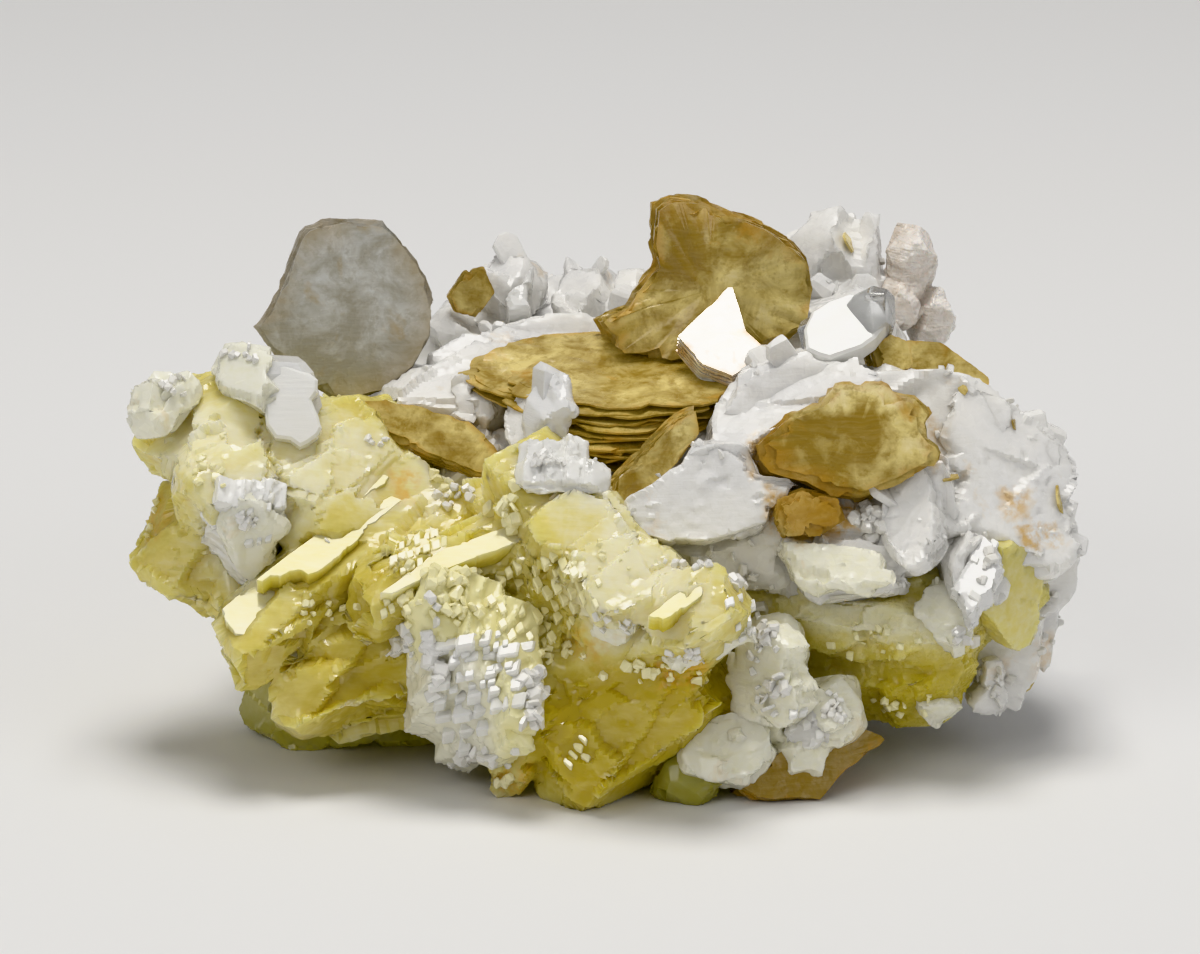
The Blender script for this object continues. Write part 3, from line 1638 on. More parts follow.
BOOKS = (
    MicaBook("muscovite_left_book", ring(-21.5, 29.4, -20.6, 30.6, -18.5, 35.6, -17.0, 36.2, -13.5, 36.1, -12.4, 35.0,
        -11.0, 33.2, -10.2, 31.2, -10.5, 28.8, -11.6, 26.8, -13.4, 25.4, -16.0, 24.6, -19.4, 26.4), 2.4, 1.5, 0.1,
        0.16, leaves=7, ragged=0.4, shrink=0.06, seed=11),
    MicaBook("muscovite_right_book", ring(9.0, 22.1, 11.1, 24.0, 13.2, 24.9, 14.2, 26.1, 17.5, 26.2, 18.4, 25.4,
        19.4, 25.3, 20.4, 24.4, 20.1, 23.0, 21.1, 21.8, 20.9, 20.9, 18.0, 19.4, 16.0, 18.6, 13.8, 18.8, 12.4, 19.7,
        9.9, 20.3, 9.2, 21.2), -11.6, 2.6, 0.02, 0.34, leaves=12, ragged=0.55, wave=0.35, shrink=0.22, seed=12),
    MicaBook("muscovite_stain_book", ring(10.6, 18.8, 12.2, 19.4, 14.6, 18.9, 14.9, 17.4, 13.4, 16.4, 11.0, 16.3,
        10.4, 17.4), -13.6, 1.5, 0.05, 0.2, leaves=6, ragged=0.6, wave=0.3, shrink=0.3, seed=13),
    MicaBook("muscovite_top_book", ring(-0.2, 29.6, 1.6, 30.4, 2.2, 31.6, 3.6, 33.2, 3.2, 34.8, 3.4, 37.0, 4.2, 37.6,
        6.2, 37.4, 8.2, 36.6, 10.0, 36.0, 12.0, 34.9, 13.2, 33.6, 13.6, 31.8, 13.2, 29.6, 12.2, 28.6, 9.6, 27.6,
        4.6, 27.0, 1.0, 27.6), 1.6, 3.6, 0.04, 0.2, leaves=11, ragged=0.5, wave=0.9, shrink=0.14, seed=14),
    MicaBook("muscovite_bright_book", ring(4.7, 28.9, 8.2, 32.3, 8.7, 30.7, 9.1, 29.2, 10.6, 27.8, 8.2, 26.3,
        6.2, 27.1), -1.6, 1.6, 0.0, 1.0, leaves=6, ragged=0.12, wave=0.03, shrink=0.04, seed=15),
    MicaBook("muscovite_leaf_book", ring(0.6, 18.4, 0.9, 19.8, 2.8, 22.0, 5.0, 24.1, 6.2, 24.6, 6.4, 23.2, 5.2, 21.4,
        3.4, 19.6, 1.6, 18.3), -10.4, 2.4, 0.2, 0.3, leaves=8, ragged=0.25, wave=0.5, shrink=0.2, seed=16),
    MicaBook("muscovite_shelf_book", ring(-15.6, 25.0, -13.8, 25.2, -11.3, 24.7, -9.6, 24.2, -7.8, 23.6, -6.2, 22.2,
        -5.3, 20.3, -7.2, 20.0, -10.0, 21.2, -12.2, 22.0, -14.2, 23.4), -4.4, 3.6, 0.05, 0.5, leaves=12, ragged=0.4,
        wave=0.3, shrink=0.14, seed=17),
    MicaBook("muscovite_back_book", ring(18.7, 28.9, 21.2, 28.7, 23.6, 26.9, 24.4, 26.3, 24.2, 25.4, 21.6, 25.0,
        19.0, 26.6), 0.6, 1.8, 0.1, 0.6, leaves=6, ragged=0.4, seed=18),
    MicaBook("muscovite_small_book", ring(-9.7, 31.6, -8.6, 33.2, -7.3, 33.5, -6.6, 31.8, -7.8, 30.2, -9.2, 30.6),
        9.6, 1.2, 0.1, 0.2, leaves=5, ragged=0.3, seed=19),
    MicaBook("muscovite_corner_book", ring(16.7, 28.4, 17.8, 29.3, 19.2, 28.6, 19.4, 27.0, 18.4, 25.8, 17.2, 26.4),
        -3.6, 2.4, 0.2, 0.5, leaves=6, ragged=0.3, seed=20),
    MicaBook("muscovite_foot_plate", ring(8.4, 1.2, 9.1, 0.5, 13.4, 0.3, 14.7, 1.9, 17.7, 4.2, 15.6, 5.4, 12.0, 4.6),
        -15.4, 4.0, 0.25, 0.5, leaves=7, ragged=0.3, shrink=0.12, seed=21),
)
FAN = MicaFan("muscovite_fan_book", (
    Lens((-1.2, 26.5, 0.6), 7.6, 5.0, 4, 14), Lens((1.2, 25.6, -1.8), 8.0, 5.2, -6, 9),
    Lens((1.2, 24.2, -2.8), 7.0, 5.0, 0, 6), Lens((0.4, 22.8, -3.6), 5.6, 4.6, 5, 2)))

GLOSSY = (
    # the long crystal's face, below and above its bare saddle
    ring(222, 609, 240, 593, 254, 584, 262, 588, 275, 591, 277, 598, 292, 606, 256, 643, 247, 636, 235, 634,
        226, 624),
    ring(256, 580, 284, 558, 312, 538, 340, 513, 362, 492, 384, 474, 389, 477, 385, 484, 372, 490, 364, 498, 366, 505,
        379, 511, 384, 500, 392, 496, 402, 500, 376, 522, 368, 525, 366, 533, 338, 558, 318, 572, 308, 575, 300, 570,
        290, 572, 278, 578, 270, 576, 262, 582),
    # the crystal beside it, a stepped face and a terminated one
    ring(380, 593, 395, 583, 418, 566, 443, 549, 470, 540, 505, 527, 515, 529, 530, 522, 556, 519, 560, 527, 545, 534,
        520, 541, 500, 550, 470, 560, 440, 572, 410, 585, 392, 594),
    ring(648, 616, 672, 597, 695, 581, 703, 588, 703, 596, 680, 612, 662, 621),
)
BEDS = (
    (Region(ring(484, 600, 500, 565, 530, 553, 560, 555, 585, 560, 586, 590, 570, 640, 548, 650, 520, 640, 500, 630)),
        Facets(0.72, 1.0, 0.1, TILTED, 1.5, (GLARE,), 1.0, 4.0, 0.3, 0.9, 0.3, seed=71)),
    (Region(ring(393, 562, 398, 545, 405, 538, 419, 532, 440, 526, 446, 540, 440, 560, 425, 567, 412, 574, 400, 578)),
        Facets(0.75, 1.0, 0.12, TILTED, 1.3, (GLARE,), 1.0, 5.0, 0.3, 0.9, 0.3, seed=72)),
    (Region(ring(380, 600, 392, 600, 394, 620, 382, 622)), Facets(0.8, 1.0, 0.1, TILTED, 1.3, (GLARE,), 1.0, 5.0)),
)
YELLOW_TINTS = (
    ("milk", 0.75, Region(ring(150, 425, 185, 400, 225, 410, 262, 440, 300, 470, 330, 500, 300, 540, 262, 590,
        240, 590, 215, 540, 190, 500, 165, 460), 34, 4, 14)),
    ("milk", 0.6, Region(ring(262, 440, 300, 400, 400, 440, 460, 475, 440, 520, 380, 505, 330, 500), 26, 4, 14)),
    ("milk", 0.65, Region(ring(518, 460, 600, 455, 640, 540, 720, 580, 735, 610, 690, 650, 600, 650, 560, 560), 26, 4,
        14)),
    ("milk", 0.4, Region(ring(410, 585, 480, 575, 500, 640, 440, 660), 20, 4, 10)),
    ("milk", -0.9, Region(ring(545, 700, 600, 665, 700, 665, 735, 700, 680, 790, 580, 810, 530, 770), 26, 4, 14)),
    ("milk", -0.5, Region(ring(225, 625, 300, 650, 440, 640, 430, 710, 330, 730, 250, 690), 24, 4, 14)),
    ("milk", -0.35, Region(ring(300, 600, 400, 540, 470, 590, 420, 640, 330, 650), 30, 4, 14)),
    ("rust", 0.8, Region(ring(655, 662, 700, 655, 712, 672, 690, 690, 660, 690), 10, 5, 10)),
    ("rust", 0.5, Region(ring(570, 622, 612, 636, 604, 668, 566, 652), 16, 5, 10)),
    ("rust", 0.6, Region(ring(392, 470, 418, 474, 414, 502, 392, 498), 12, 5, 10)),
    ("rust", 0.5, Region(ring(135, 500, 160, 495, 172, 520, 150, 545, 130, 530), 14, 5, 10)),
    ("rust", 0.6, Region(ring(488, 766, 530, 762, 530, 800, 490, 795), 12, 5, 10)),
)
RIGHT_TINTS = (
    ("milk", 0.7, Region(ring(760, 575, 800, 560, 880, 590, 940, 615, 930, 640, 860, 640, 790, 625), 24, 4, 14)),
    ("milk", -0.8, Region(ring(840, 690, 960, 655, 985, 700, 900, 730, 840, 715), 24, 4, 14)),
)
WHITE_TINTS = (
    ("rust", 0.7, Region(ring(1000, 490, 1032, 492, 1028, 522, 1002, 518), 10, 6)),
    ("rust", 0.9, Region(ring(1018, 526, 1056, 526, 1062, 545, 1024, 547), 8, 6)),
    ("rust", 0.9, Region(ring(764, 486, 800, 500, 850, 505, 860, 528, 800, 545, 768, 525), 10, 6)),
    ("rust", 0.6, Region(ring(745, 440, 765, 430, 770, 470, 750, 480), 10, 6)),
    ("rust", 0.6, Region(ring(930, 420, 945, 430, 940, 470, 925, 465), 10, 6)),
    ("rust", 0.7, Region(ring(436, 508, 458, 508, 456, 524, 436, 524), 6, 4)),
    ("rust", 0.4, Region(ring(1040, 640, 1060, 630, 1062, 680, 1035, 680), 10, 6)),
)
MICA_TINTS = (
    # right book: pale upper strip, dark middle, rusty foot
    ("gold", 0.9, Region(ring(785, 400, 830, 382, 875, 378, 915, 398, 905, 410, 860, 404, 820, 408, 790, 418), 6, 5,
        12)),
    ("gold", -0.5, Region(ring(765, 425, 830, 412, 880, 425, 880, 470, 820, 490, 770, 470), 20, 8, 12)),
    ("gold", 0.5, Region(ring(890, 405, 925, 410, 940, 455, 925, 465, 895, 450), 14, 6, 12)),
    ("rust", 0.9, Region(ring(742, 440, 762, 430, 790, 462, 850, 490, 870, 520, 800, 545, 760, 500), 12, 8, 12)),
    # top book: grey windows in its upper corner, pale folds below
    ("gold", -0.6, Region(ring(660, 210, 705, 215, 722, 262, 690, 290, 655, 270), 16, 8, 12)),
    ("gold", 0.35, Region(ring(730, 270, 800, 260, 815, 320, 760, 345, 720, 320), 20, 8, 12)),
    ("rust", 0.6, Region(ring(650, 198, 760, 200, 820, 250, 812, 262, 740, 218, 655, 214), 8, 5, 12)),
    # left book: brown rim around a grey middle
    ("rust", 0.8, Region(ring(250, 215, 350, 205, 350, 235, 300, 245, 285, 290, 270, 330, 240, 330), 14, 7, 12)),
    ("rust", 0.7, Region(ring(400, 215, 445, 290, 435, 370, 380, 405, 330, 400, 340, 385, 400, 360, 415, 300,
        395, 250), 12, 7, 12)),
    ("gold", -0.25, Region(ring(290, 330, 400, 340, 380, 400, 300, 380), 20, 7, 12)),
    ("gold", -0.8, Region(ring(730, 710, 900, 700, 900, 820, 720, 830), 16, 4, 14)),
)
CRUST_TINTS = (
    ("straw", 0.35, Region(ring(390, 560, 560, 560, 560, 790, 390, 790), 10, 2, 12)),
    ("straw", 0.85, Region(ring(395, 570, 500, 570, 560, 620, 560, 660, 505, 650, 470, 640, 430, 655, 400, 650), 26,
        5, 12)),
    ("straw", 0.6, Region(ring(480, 640, 560, 640, 560, 780, 500, 780, 490, 700), 24, 5, 12)),
)


PALE_PLATES = (
    Shard(ring(622, 502, 640, 494, 655, 486, 672, 472, 690, 455, 700, 440, 716, 437, 738, 452, 750, 462, 756, 472,
        768, 478, 782, 480, 796, 482, 790, 492, 778, 499, 768, 506, 768, 516, 758, 522, 744, 526, 730, 530, 716, 534,
        700, 537, 676, 538, 648, 541, 641, 541, 636, 532, 630, 520), lift=0.4, lean=CALM, hosts=(WHITE_MASS,)),
    Shard(ring(712, 420, 718, 405, 726, 392, 734, 380, 740, 370, 752, 364, 768, 358, 785, 350, 803, 347, 820, 355,
        838, 364, 850, 362, 860, 358, 872, 366, 884, 385, 862, 400, 830, 410, 806, 420, 780, 428, 762, 440, 748, 452,
        730, 448, 714, 438), lift=0.4, hosts=(WHITE_MASS,)),
    Shard(ring(952, 390, 970, 384, 985, 388, 1005, 397, 1020, 410, 1040, 425, 1060, 438, 1072, 452, 1079, 468,
        1078, 480, 1070, 494, 1060, 500, 1040, 500, 1010, 498, 980, 490, 960, 480, 944, 470, 944, 440, 950, 415),
        thick=2.0, lift=0.4, hosts=(WHITE_MASS,)),
    Shard(ring(960, 480, 990, 488, 1020, 492, 1050, 494, 1068, 500, 1075, 510, 1078, 522, 1075, 538, 1068, 548,
        1055, 556, 1046, 562, 1030, 558, 1010, 548, 985, 535, 960, 530, 950, 520, 944, 500), thick=2.0, lift=0.4,
        hosts=(WHITE_MASS,)),
    Shard(ring(884, 480, 892, 470, 905, 464, 918, 463, 928, 464, 933, 480, 936, 500, 938, 520, 936, 535, 932, 545,
        924, 556, 914, 565, 904, 567, 896, 560, 888, 548, 882, 535, 880, 520, 884, 505), lift=0.6,
        hosts=(WHITE_MASS,)),
    Shard(ring(938, 515, 944, 505, 955, 498, 968, 500, 978, 510, 980, 520, 970, 528, 958, 529, 948, 524), lift=0.6,
        hosts=(WHITE_MASS,)),
    Shard(ring(778, 545, 788, 538, 812, 540, 835, 540, 850, 541, 862, 545, 880, 553, 885, 560, 880, 570, 872, 577,
        858, 577, 845, 578, 830, 585, 820, 590, 806, 585, 796, 575, 788, 565), finish="straw"),
    Shard(ring(830, 577, 850, 575, 862, 577, 880, 580, 895, 586, 885, 590, 872, 591, 873, 600, 860, 596, 845, 592,
        830, 588, 818, 587), finish="straw", thick=0.9, lift=0.7),
    Shard(ring(790, 567, 805, 575, 818, 587, 819, 599, 805, 592, 795, 580), finish="straw", thick=0.9),
    Shard(ring(935, 575, 945, 580, 955, 590, 960, 600, 968, 612, 975, 622, 972, 630, 968, 640, 965, 647, 955, 648,
        950, 641, 938, 638, 925, 630, 915, 622, 912, 610, 915, 600, 925, 590), finish="straw", lift=0.4),
    Shard(ring(974, 533, 980, 532, 985, 536, 992, 543, 998, 552, 999, 565, 997, 580, 996, 590, 990, 596, 982, 600,
        980, 612, 974, 620, 966, 617, 960, 605, 952, 590, 958, 580, 965, 560, 970, 548), finish="glassy", lift=0.9,
        lean=Vector((-0.15, -0.62, 0.76))),
    Shard(ring(1002, 662, 1006, 672, 1003, 685, 1008, 692, 1007, 700, 1010, 708, 1003, 716, 990, 716, 978, 714,
        966, 708, 970, 700, 980, 690, 980, 675, 984, 665), lift=0.4),
    Shard(ring(920, 712, 928, 705, 940, 702, 955, 706, 962, 712, 950, 722, 940, 728, 930, 722), finish="straw"),
    Shard(ring(684, 740, 695, 728, 710, 720, 725, 716, 738, 715, 752, 718, 765, 724, 773, 735, 772, 748, 768, 758,
        765, 770, 758, 776, 748, 781, 735, 783, 722, 786, 712, 785, 700, 781, 690, 772, 680, 765, 678, 752),
        finish="grey", ragged=0.12, lean=CALM),
    Shard(ring(728, 655, 745, 640, 758, 630, 765, 625, 775, 632, 782, 640, 795, 645, 792, 655, 795, 665, 794, 680,
        805, 690, 803, 705, 795, 722, 785, 733, 770, 722, 755, 722, 740, 720, 730, 712, 728, 700, 732, 690, 724, 682,
        724, 670), finish="straw", ragged=0.35),
    Shard(ring(805, 690, 815, 680, 830, 685, 845, 695, 855, 710, 855, 720, 848, 730, 838, 742, 828, 738, 822, 730,
        812, 722, 805, 712), finish="grey", ragged=0.3),
    Shard(ring(780, 730, 785, 745, 795, 750, 808, 756, 818, 745, 822, 728, 820, 715, 810, 712, 798, 718, 790, 725),
        lift=0.7, ragged=0.12),
    Shard(ring(690, 640, 705, 630, 722, 622, 735, 612, 742, 615, 750, 625, 757, 635, 758, 642, 745, 645, 735, 650,
        726, 657, 718, 663, 705, 666, 695, 668, 675, 678, 668, 672, 680, 650), finish="straw", thick=1.0, lift=0.4,
        ragged=0.3),
    Shard(ring(590, 620, 600, 613, 615, 612, 630, 614, 640, 620, 639, 630, 633, 640, 625, 646, 612, 642, 600, 640,
        590, 635), finish="straw", thick=1.0, lift=0.4),
    Shard(ring(395, 397, 410, 385, 425, 372, 440, 358, 460, 345, 480, 330, 500, 325, 530, 325, 560, 330, 570, 340,
        555, 350, 530, 352, 500, 356, 490, 378, 505, 395, 500, 408, 490, 415, 460, 405, 440, 402, 420, 400),
        thick=2.0, lift=0.4, hosts=(WHITE_MASS,)),
    Shard(ring(505, 312, 510, 295, 520, 280, 528, 265, 533, 262, 530, 290, 529, 310), finish="glassy", thick=1.4,
        lift=1.6, ragged=0.03, lean=GLARE, hosts=(WHITE_MASS,)),
    Shard(ring(272, 365, 285, 365, 297, 370, 310, 373, 318, 380, 318, 392, 312, 400, 318, 415, 322, 428, 318, 436,
        308, 443, 300, 447, 290, 440, 275, 438, 266, 425, 264, 400, 266, 380), finish="striated", thick=1.2,
        ragged=0.03, lean=CALM, hosts=("albite_striated_crystal_dressed",)),
    Shard(ring(804, 330, 812, 312, 828, 302, 850, 294, 868, 298, 880, 305, 889, 322, 876, 338, 862, 348, 830, 359,
        818, 356, 806, 350), finish="striated", thick=1.2, lift=0.7, ragged=0.02, lean=GLARE,
        hosts=("quartz_clear_crystal_dressed",)),
    Shard(ring(534, 378, 540, 370, 552, 369, 556, 374, 557, 390, 565, 405, 562, 412, 554, 415, 552, 430, 545, 445,
        530, 448, 524, 440, 522, 425, 528, 400), finish="glassy", thick=1.5, lift=0.3, ragged=0.08),
    Shard(ring(500, 440, 505, 420, 510, 400, 525, 395, 540, 400, 548, 415, 545, 440, 535, 455, 515, 458), thick=2.0),
)
LEFT_TIPS = (
    Shard(ring(217, 385, 218, 365, 222, 355, 232, 345, 240, 342, 255, 341, 268, 347, 278, 356, 275, 365, 270, 372,
        272, 385, 268, 395, 262, 405, 245, 398, 222, 393), finish="grey", thick=2.0, ragged=0.12),
    Shard(ring(147, 395, 150, 380, 160, 377, 175, 375, 182, 371, 190, 375, 198, 382, 200, 395, 196, 405, 190, 412,
        178, 415, 175, 425, 168, 435, 160, 436, 152, 425, 147, 412), finish="grey", thick=2.0, ragged=0.12),
    Shard(ring(224, 540, 225, 525, 232, 510, 240, 502, 255, 498, 265, 500, 272, 510, 280, 515, 290, 520, 292, 530,
        285, 537, 278, 540, 275, 550, 276, 562, 265, 570, 255, 583, 248, 584, 240, 575, 232, 560), finish="grey",
        lift=0.6, ragged=0.15),
)
YELLOW_PLATES = (
    Shard(ring(998, 545, 1010, 540, 1020, 545, 1030, 548, 1038, 555, 1045, 562, 1044, 575, 1043, 590, 1040, 605,
        1040, 620, 1038, 635, 1034, 645, 1022, 650, 1010, 645, 1000, 640, 990, 630, 985, 615, 985, 600, 995, 590,
        998, 575), finish="facet", ragged=0.12),
    Shard(ring(268, 398, 300, 392, 330, 398, 352, 402, 370, 418, 392, 440, 400, 452, 380, 470, 350, 492, 320, 500,
        290, 492, 272, 470, 266, 440), finish="main", thick=2.0, lift=0.3, ragged=0.12, hosts=(YELLOW_MASS,)),
    Shard(ring(185, 430, 205, 425, 240, 430, 262, 440, 272, 465, 262, 485, 245, 495, 225, 505, 205, 500, 188, 480,
        182, 455), finish="main", thick=2.2, lift=0.3, ragged=0.1, hosts=(YELLOW_MASS,)),
    Shard(ring(740, 600, 745, 580, 762, 572, 790, 578, 820, 596, 850, 602, 900, 604, 930, 625, 940, 642, 915, 650,
        895, 660, 860, 665, 830, 660, 800, 650, 780, 635, 755, 622), finish="right", thick=2.2, lift=0.3, ragged=0.12,
        hosts=(RIGHT_MASS,)),
    Shard(ring(523, 520, 545, 500, 580, 490, 605, 500, 622, 530, 640, 555, 660, 580, 655, 600, 630, 612, 600, 612,
        585, 590, 583, 560, 560, 548, 535, 545), finish="main", thick=2.2, lift=0.3, ragged=0.08,
        hosts=(YELLOW_MASS,)),
    Shard(ring(640, 600, 660, 575, 690, 568, 715, 578, 733, 592, 737, 608, 728, 628, 705, 642, 675, 650, 650, 640,
        640, 622), finish="main", thick=2.2, lift=0.3, ragged=0.05, hosts=(YELLOW_MASS,)),
    Shard(ring(545, 740, 560, 715, 600, 690, 650, 685, 690, 690, 715, 705, 700, 730, 660, 760, 620, 782, 580, 794,
        555, 775), finish="main", thick=2.2, lift=0.2, ragged=0.06, hosts=(YELLOW_MASS,)),
)
SHARDS = (
    ("pale_plates", Slot.ALBITE, PALE_PLATES),
    ("left_tips", Slot.ALBITE, LEFT_TIPS),
    ("yellow_plates", Slot.BRAZILIANITE, YELLOW_PLATES),
)


@dataclass
class Sugar:
    """Small glassy grains along the edges of the white masses."""

    count: int = 1500
    size: tuple[float, float] = (0.25, 0.6)
    spread: float = 0.6
    seed: int = 81

    def build(self, stock: Stock, ground: Piece) -> Piece:
        """Scatters the grains.

        Args:
            stock: The small crystals.
            ground: The mass that they grow on, in millimetres.

        Returns:
            The grains as one piece, in millimetres.
        """
        chance = random.Random(self.seed)

        def keep(point: Vector, normal: Vector) -> bool:
            """Keeps places where grains gather."""
            return noise.fractal(point * 0.22, 0.8, 2.0, 3) > 0.05 + 0.3 * abs(normal.z)

        made = []
        for point, normal in scatter(ground, self.count, chance, keep):
            along = normal + shake(chance, self.spread)
            kind = stock.blocks if chance.random() < 0.7 else stock.blades
            made.append(stock.put(kind, point, along, chance.uniform(*self.size), chance))
        return Bench.gather("albite_grains", made)


@dataclass(frozen=True)
class Clump:
    """Handful of small crystals around one picture point."""

    place: Place
    reach: tuple[float, float]
    count: int
    size: tuple[float, float] = (0.3, 0.7)

    def build(self, seats: Seats, stock: Stock, chance: random.Random) -> Copies:
        """Strews the crystals around the point.

        Args:
            seats: Where they sit.
            stock: The small crystals.
            chance: Source of their variety.

        Returns:
            Stock crystals with their moves, in millimetres.
        """
        made = []
        for _ in range(self.count):
            spot = tuple(place + chance.gauss(0, 0.45) * reach for place, reach in zip(self.place, self.reach))
            found = seats.find(spot)
            if found:
                tilt = Vector((chance.uniform(-0.7, 0.7), chance.uniform(-0.7, 0.3), chance.uniform(-0.2, 0.8)))
                kind = stock.blocks if chance.random() < 0.75 else stock.blades
                size = chance.uniform(*self.size)
                made.append(stock.put(kind, found[0], found[1] + tilt, size, chance, sink=0.35))
        return made


@dataclass(frozen=True)
class Steps:
    """Rows of small flat growth steps that all throw the light back."""

    outline: Outline
    pitch: tuple[float, float]
    size: Triple
    row: float
    kept: float = 0.7
    jitter: float = 0.07
    skew: float = 0.35
    proud: float = 0.14

    def tile(self, seats: Seats, stock: Stock, chance: random.Random, spot: Place,
             ahead: Place) -> tuple[Piece, Matrix] | None:
        """Lays one step.

        Args:
            seats: Where it sits.
            stock: The small crystals.
            chance: Source of its variety.
            spot: The picture point of its middle.
            ahead: A picture point further along its row.

        Returns:
            The stock tile and its move, or None where nothing carries it.
        """
        found = seats.find(spot)
        if not found:
            return None
        normal = (GLARE + Vector([chance.gauss(0, self.jitter) for _ in range(3)])).normalized()
        side = (seats.sight.on_plane(ahead, found[0], normal) - found[0]).normalized()
        turn = Matrix((side, normal.cross(side), normal)).transposed().to_4x4()
        wide, deep, thick = (value * chance.uniform(0.7, 1.25) for value in self.size)
        shape = Matrix(((wide, self.skew * deep, 0, 0), (0, deep, 0, 0), (0, 0, thick, 0), (0, 0, 0, 1)))
        move = Matrix.Translation(found[0] + normal * (self.proud - 0.5 * thick)) @ turn @ shape
        return chance.choice(stock.tiles), move

    def build(self, seats: Seats, stock: Stock, chance: random.Random) -> Copies:
        """Lays the rows inside the outline.

        Args:
            seats: Where the steps sit.
            stock: The small crystals.
            chance: Source of their variety.

        Returns:
            Stock tiles with their moves, in millimetres.
        """
        centre = centre_of(self.outline)
        reach = max(math.dist(place, centre) for place in self.outline)
        right, rise = math.cos(math.radians(self.row)), -math.sin(math.radians(self.row))
        columns, ranks = (int(reach / pitch) + 1 for pitch in self.pitch)
        made = []
        for rank in range(-ranks, ranks + 1):
            slide = chance.uniform(-0.5, 0.5)
            for number in range(-columns, columns + 1):
                forth = (number + slide + chance.uniform(-0.12, 0.12)) * self.pitch[0]
                down = rank * self.pitch[1]
                spot = (centre[0] + right * forth - rise * down, centre[1] + rise * forth + right * down)
                if chance.random() > self.kept or not within(self.outline, spot):
                    continue
                made.append(self.tile(seats, stock, chance, spot, (spot[0] + right * 10, spot[1] + rise * 10)))
        return [tile for tile in made if tile]


@dataclass(frozen=True)
class Growth:
    """Bunches of near-parallel crystals over the parts of a mass that face some way."""

    name: str
    kind: str
    facing: Triple
    count: int
    size: tuple[float, float]
    turn: float = 0.1
    dense: float = 0.05
    spread: float = 0.35
    sink: float = 0.4
    seed: int = 1

    def build(self, stock: Stock, ground: Piece) -> Piece:
        """Grows the crystals.

        Args:
            stock: The small crystals.
            ground: The mass that they grow on, in millimetres.

        Returns:
            The crystals as one piece, in millimetres.
        """
        chance = random.Random(self.seed)
        facing = Vector(self.facing).normalized()
        drift = Vector((self.seed * 7.0, 0.0, 0.0))

        def keep(point: Vector, normal: Vector) -> bool:
            """Keeps places in the bunches that face the right way."""
            return normal.dot(facing) > self.turn and noise.fractal(point * 0.16 + drift, 0.8, 2.0, 3) > self.dense

        made = []
        for point, normal in scatter(ground, self.count, chance, keep):
            bunch = noise.noise_vector(point * 0.22 + drift) * 1.3
            jitter = Vector([chance.uniform(-1, 1) * self.spread for _ in range(3)])
            side = noise.noise_vector(point * 0.15 - drift) + jitter * 0.5
            size = chance.uniform(*self.size)
            made.append(stock.put(getattr(stock, self.kind), point, normal + bunch + jitter, size, chance, side,
                                  self.sink))
        return Bench.gather(self.name, made)


WHITE_GROWTH = (
    Growth("back_blades", "blades", (0.1, 1.0, 0.25), 620, (0.7, 2.1), seed=5),
    Growth("back_blocks", "blocks", (0.0, 1.0, 0.2), 420, (0.6, 2.4), seed=6),
    Growth("side_blades", "blades", (1.0, 0.35, 0.1), 260, (0.6, 1.6), seed=7),
)
YELLOW_GROWTH = Growth("back_prisms", "blocks", (0.0, 1.0, 0.0), 200, (0.5, 1.8), -0.2, -0.1, 0.2, seed=8)
FLAKES = Growth("small_flakes", "flakes", (0.0, 0.2, 1.0), 260, (0.5, 1.5), -0.4, 0.12, 0.9, 0.3, seed=9)


YELLOW_STEPS = (
    Steps(ring(484, 600, 500, 565, 530, 553, 560, 555, 585, 560, 586, 590, 570, 640, 548, 650, 520, 640, 500, 630),
        (11, 13), (0.58, 0.72, 0.6), 36),
    Steps(ring(393, 562, 398, 545, 405, 538, 419, 532, 440, 526, 446, 540, 440, 560, 425, 567, 412, 574, 400, 578),
        (9, 11), (0.48, 0.62, 0.5), 20, 0.85),
    Steps(ring(380, 600, 394, 598, 396, 620, 380, 624), (8, 9), (0.4, 0.5, 0.4), 30, 0.8),
    Steps(ring(560, 740, 585, 735, 590, 770, 570, 780, 555, 760), (10, 12), (0.4, 0.6, 0.5), 60, 0.6),
    Steps(ring(570, 560, 600, 565, 600, 610, 575, 640, 565, 600), (14, 15), (0.4, 0.5, 0.5), 36, 0.4),
)
WHITE_STEPS = (
    Steps(ring(440, 645, 470, 636, 505, 628, 528, 640, 535, 672, 528, 708, 520, 745, 486, 760, 455, 748, 432, 715,
        430, 680), (18, 17), (1.1, 0.95, 1.0), 10, 0.75, 0.08, 0.4),
    Steps(ring(455, 640, 500, 625, 520, 650, 505, 690, 450, 690), (10, 11), (0.5, 0.5, 0.5), 12, 0.5, 0.1),
    Steps(ring(238, 500, 262, 492, 286, 500, 290, 520, 280, 545, 250, 548, 236, 525), (9, 10), (0.42, 0.48, 0.5), 10,
        0.55, 0.1),
    Steps(ring(728, 600, 748, 596, 762, 620, 758, 650, 735, 640), (11, 12), (0.5, 0.5, 0.5), 25, 0.45, 0.1),
    Steps(ring(775, 705, 808, 700, 820, 735, 800, 750, 776, 738), (13, 14), (0.6, 0.6, 0.6), 15, 0.5, 0.1),
    Steps(ring(968, 545, 998, 540, 1000, 590, 975, 600), (11, 13), (0.5, 0.7, 0.6), 70, 0.5, 0.08),
)
